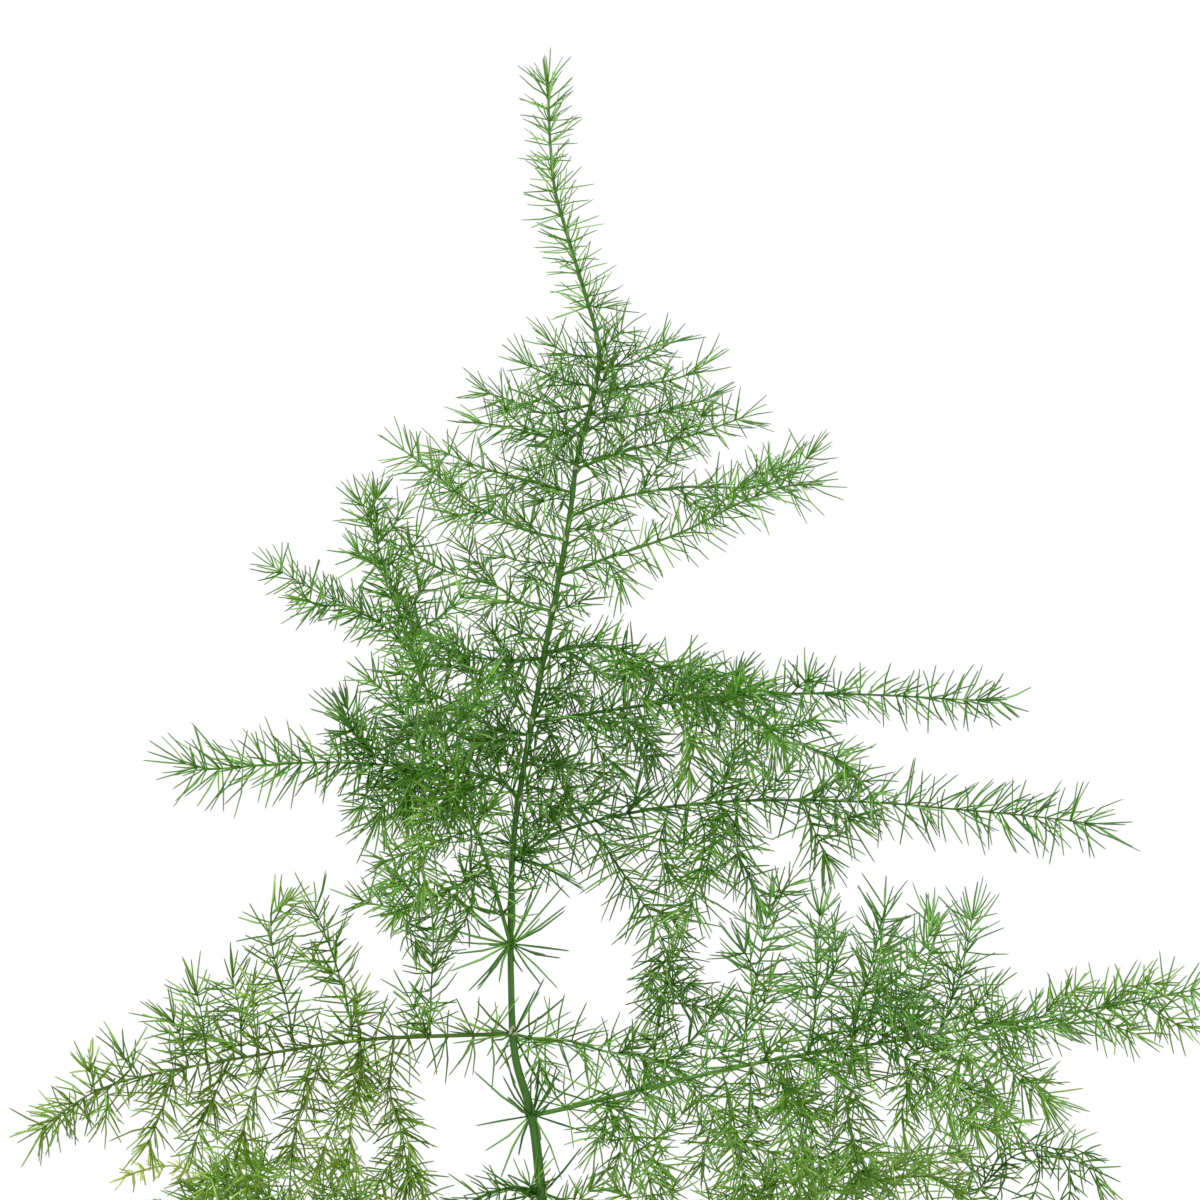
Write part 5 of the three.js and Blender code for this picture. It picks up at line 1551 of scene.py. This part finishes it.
def scale_surface():
    surface = Surface("papery_scale", Specular_IOR_Level=0.25)
    veins = surface.grain(scale=3000, detail=3.0, roughness=0.6, stretch=(1, 1, 0.1))
    brown = surface.maths("POWER", surface.value("along"), PAPER_TIP_POWER)
    colour = surface.mixed("MIX", brown, surface.ramp(veins, PAPER), PAPER_TIP)
    return surface.finished(colour, veins, roughness=(0.6, 0.8), relief=veins, bump=(0.4, 0.0001))


def terracotta_surface():
    surface = Surface("terracotta", Specular_IOR_Level=0.2)
    body = surface.grain(scale=28, detail=6.0, roughness=0.6)
    grit = surface.grain(scale=1400, detail=3.0, roughness=0.7)
    specks = surface.ramp(grit, CLAY_SPECKS)
    colour = surface.mixed("MIX", specks, surface.ramp(body, CLAY), CLAY_SPECK)
    clouds = surface.ramp(surface.grain(scale=60, detail=7.0, roughness=0.7), LIME_CLOUDS)
    bloom = surface.maths("MULTIPLY", clouds, surface.ramp(surface.value("along"), LIME_UP_THE_POT))
    colour = surface.mixed("MIX", bloom, colour, LIME)
    relief = surface.mixed("MIX", CLAY_BODY_RELIEF, grit, body)
    return surface.finished(colour, grit, roughness=(0.74, 0.95), relief=relief, bump=(0.35, 0.0004))


def mix_surface():
    surface = Surface("potting_mix", Specular_IOR_Level=0.2)
    crumbs = surface.grain(scale=420, detail=8.0, roughness=0.7)
    colour = surface.ramp(crumbs, PEAT)
    return surface.finished(colour, crumbs, roughness=(0.8, 1.0), relief=crumbs, bump=(0.9, 0.0012))


def crumb_surface():
    surface = Surface("bark_and_peat", Specular_IOR_Level=0.2)
    colour = surface.ramp(surface.value("chance"), CRUMB_COLOURS)
    fibres = surface.grain(scale=1300, detail=5.0, roughness=0.65, stretch=(1, 0.25, 1))
    colour = surface.mixed("MULTIPLY", 1.0, colour, surface.ramp(fibres, FIBRE_SHADE))
    return surface.finished(colour, fibres, roughness=(0.75, 0.98), relief=fibres, bump=(0.7, 0.0005))


def floor_surface():
    surface = Surface("pale_floor", Specular_IOR_Level=0.1)
    colour = surface.ramp(surface.grain(scale=3, detail=3.0), FLOOR_GREYS)
    return surface.finished(colour, surface.grain(scale=40), roughness=(0.8, 0.95))


def softbox(name, place, width, watts):
    """A round soft lamp that faces the plant and isn't seen itself."""
    lamp = bpy.data.lights.new(name, "AREA")
    lamp.shape = "DISK"
    lamp.size = width
    lamp.energy = watts
    made = placed(name, lamp)
    made.location = place
    made.visible_camera = False
    aim = Vector(PLANT_MIDDLE) - made.location
    made.rotation_euler = aim.to_track_quat("-Z", "Y").to_euler()


def level_camera():
    """A camera at the photograph's angle, looking level at the plant."""
    lens = bpy.data.cameras.new("camera")
    lens.lens = CAMERA_LENS
    lens.clip_end = VIEW_DEPTH
    camera = placed("camera", lens)
    camera.location = CAMERA_PLACE
    camera.rotation_euler = (math.pi / 2, 0, 0)
    bpy.context.scene.camera = camera


def white_surround():
    """Even white light from all round."""
    scene = bpy.context.scene
    scene.view_settings.view_transform = "Standard"
    scene.world = bpy.data.worlds.new("white_surround")
    scene.world.use_nodes = True
    for socket, value in SURROUND.items():
        scene.world.node_tree.nodes["Background"].inputs[socket].default_value = value


def pale_floor():
    disc = bmesh.new()
    bmesh.ops.create_circle(disc, cap_ends=True, radius=FLOOR_RADIUS, segments=FLOOR_SIDES)
    mesh = bpy.data.meshes.new("floor")
    disc.to_mesh(mesh)
    disc.free()
    floor = placed("floor", mesh)
    mesh.materials.append(floor_surface())


def grow_tall_frond(needle, stem_green):
    random = np.random.default_rng(TALL_SEED)
    stem, shoots = tall_frond(random)
    rows = np.vstack([tufts(shoot, random) for shoot in shoots])
    height = heights(rows[:, ROOT])
    rows[:, LENGTH] *= np.interp(height, FINER_BETWEEN, (1, FINER_LENGTH))
    rows[:, RADIUS] *= np.interp(height, FINER_BETWEEN, (1, FINER_RADIUS))
    rows = np.vstack([rows, *whorl_rows(stem, random)])
    upper = heights(rows[:, ROOT]) > NEEDLE_DIVIDE
    stems = stem_mesh([stem, *shoots], random)
    new_piece("tall_stems", stems, stem_green, "frond_tall")
    for name, chosen in (("tall_needles_low", ~upper), ("tall_needles_high", upper)):
        new_piece(name, needle_mesh(rows[chosen]), needle, "frond_tall")
    new_piece("tall_scales", scale_shapes(stem), scale_surface(), "frond_tall")


def grow_lower_fronds(needle, stem_green):
    for i, spec in enumerate(LOWER_FRONDS):
        name = spec.name
        random = np.random.default_rng(NEEDLE_SEED + i)
        stem, shoots = lower_frond(spec, LOWER_SEED + i, random)
        rows = np.vstack([tufts(shoot, random) for shoot in shoots])
        stems = stem_mesh([stem, *shoots], random)
        new_piece(f"{name}_stems", stems, stem_green, name)
        new_piece(f"{name}_needles", needle_mesh(rows), needle, name)


def fill_pot():
    new_piece("terracotta_pot", pot_shape(), terracotta_surface(), "pot")
    new_piece("mix", mix_shape(), mix_surface(), "potting_mix")
    random = np.random.default_rng(CRUMB_SEED)
    crumbs = joined([crumb_shapes(random, **kind) for kind in (CRUMBS, CHIPS)])
    new_piece("crumbs", crumbs, crumb_surface(), "potting_mix")


greens = (needle_surface(), stem_surface())
grow_tall_frond(*greens)
grow_lower_fronds(*greens)
fill_pot()
level_camera()
white_surround()
pale_floor()
for name, settings in LIGHTS.items():
    softbox(name, **settings)
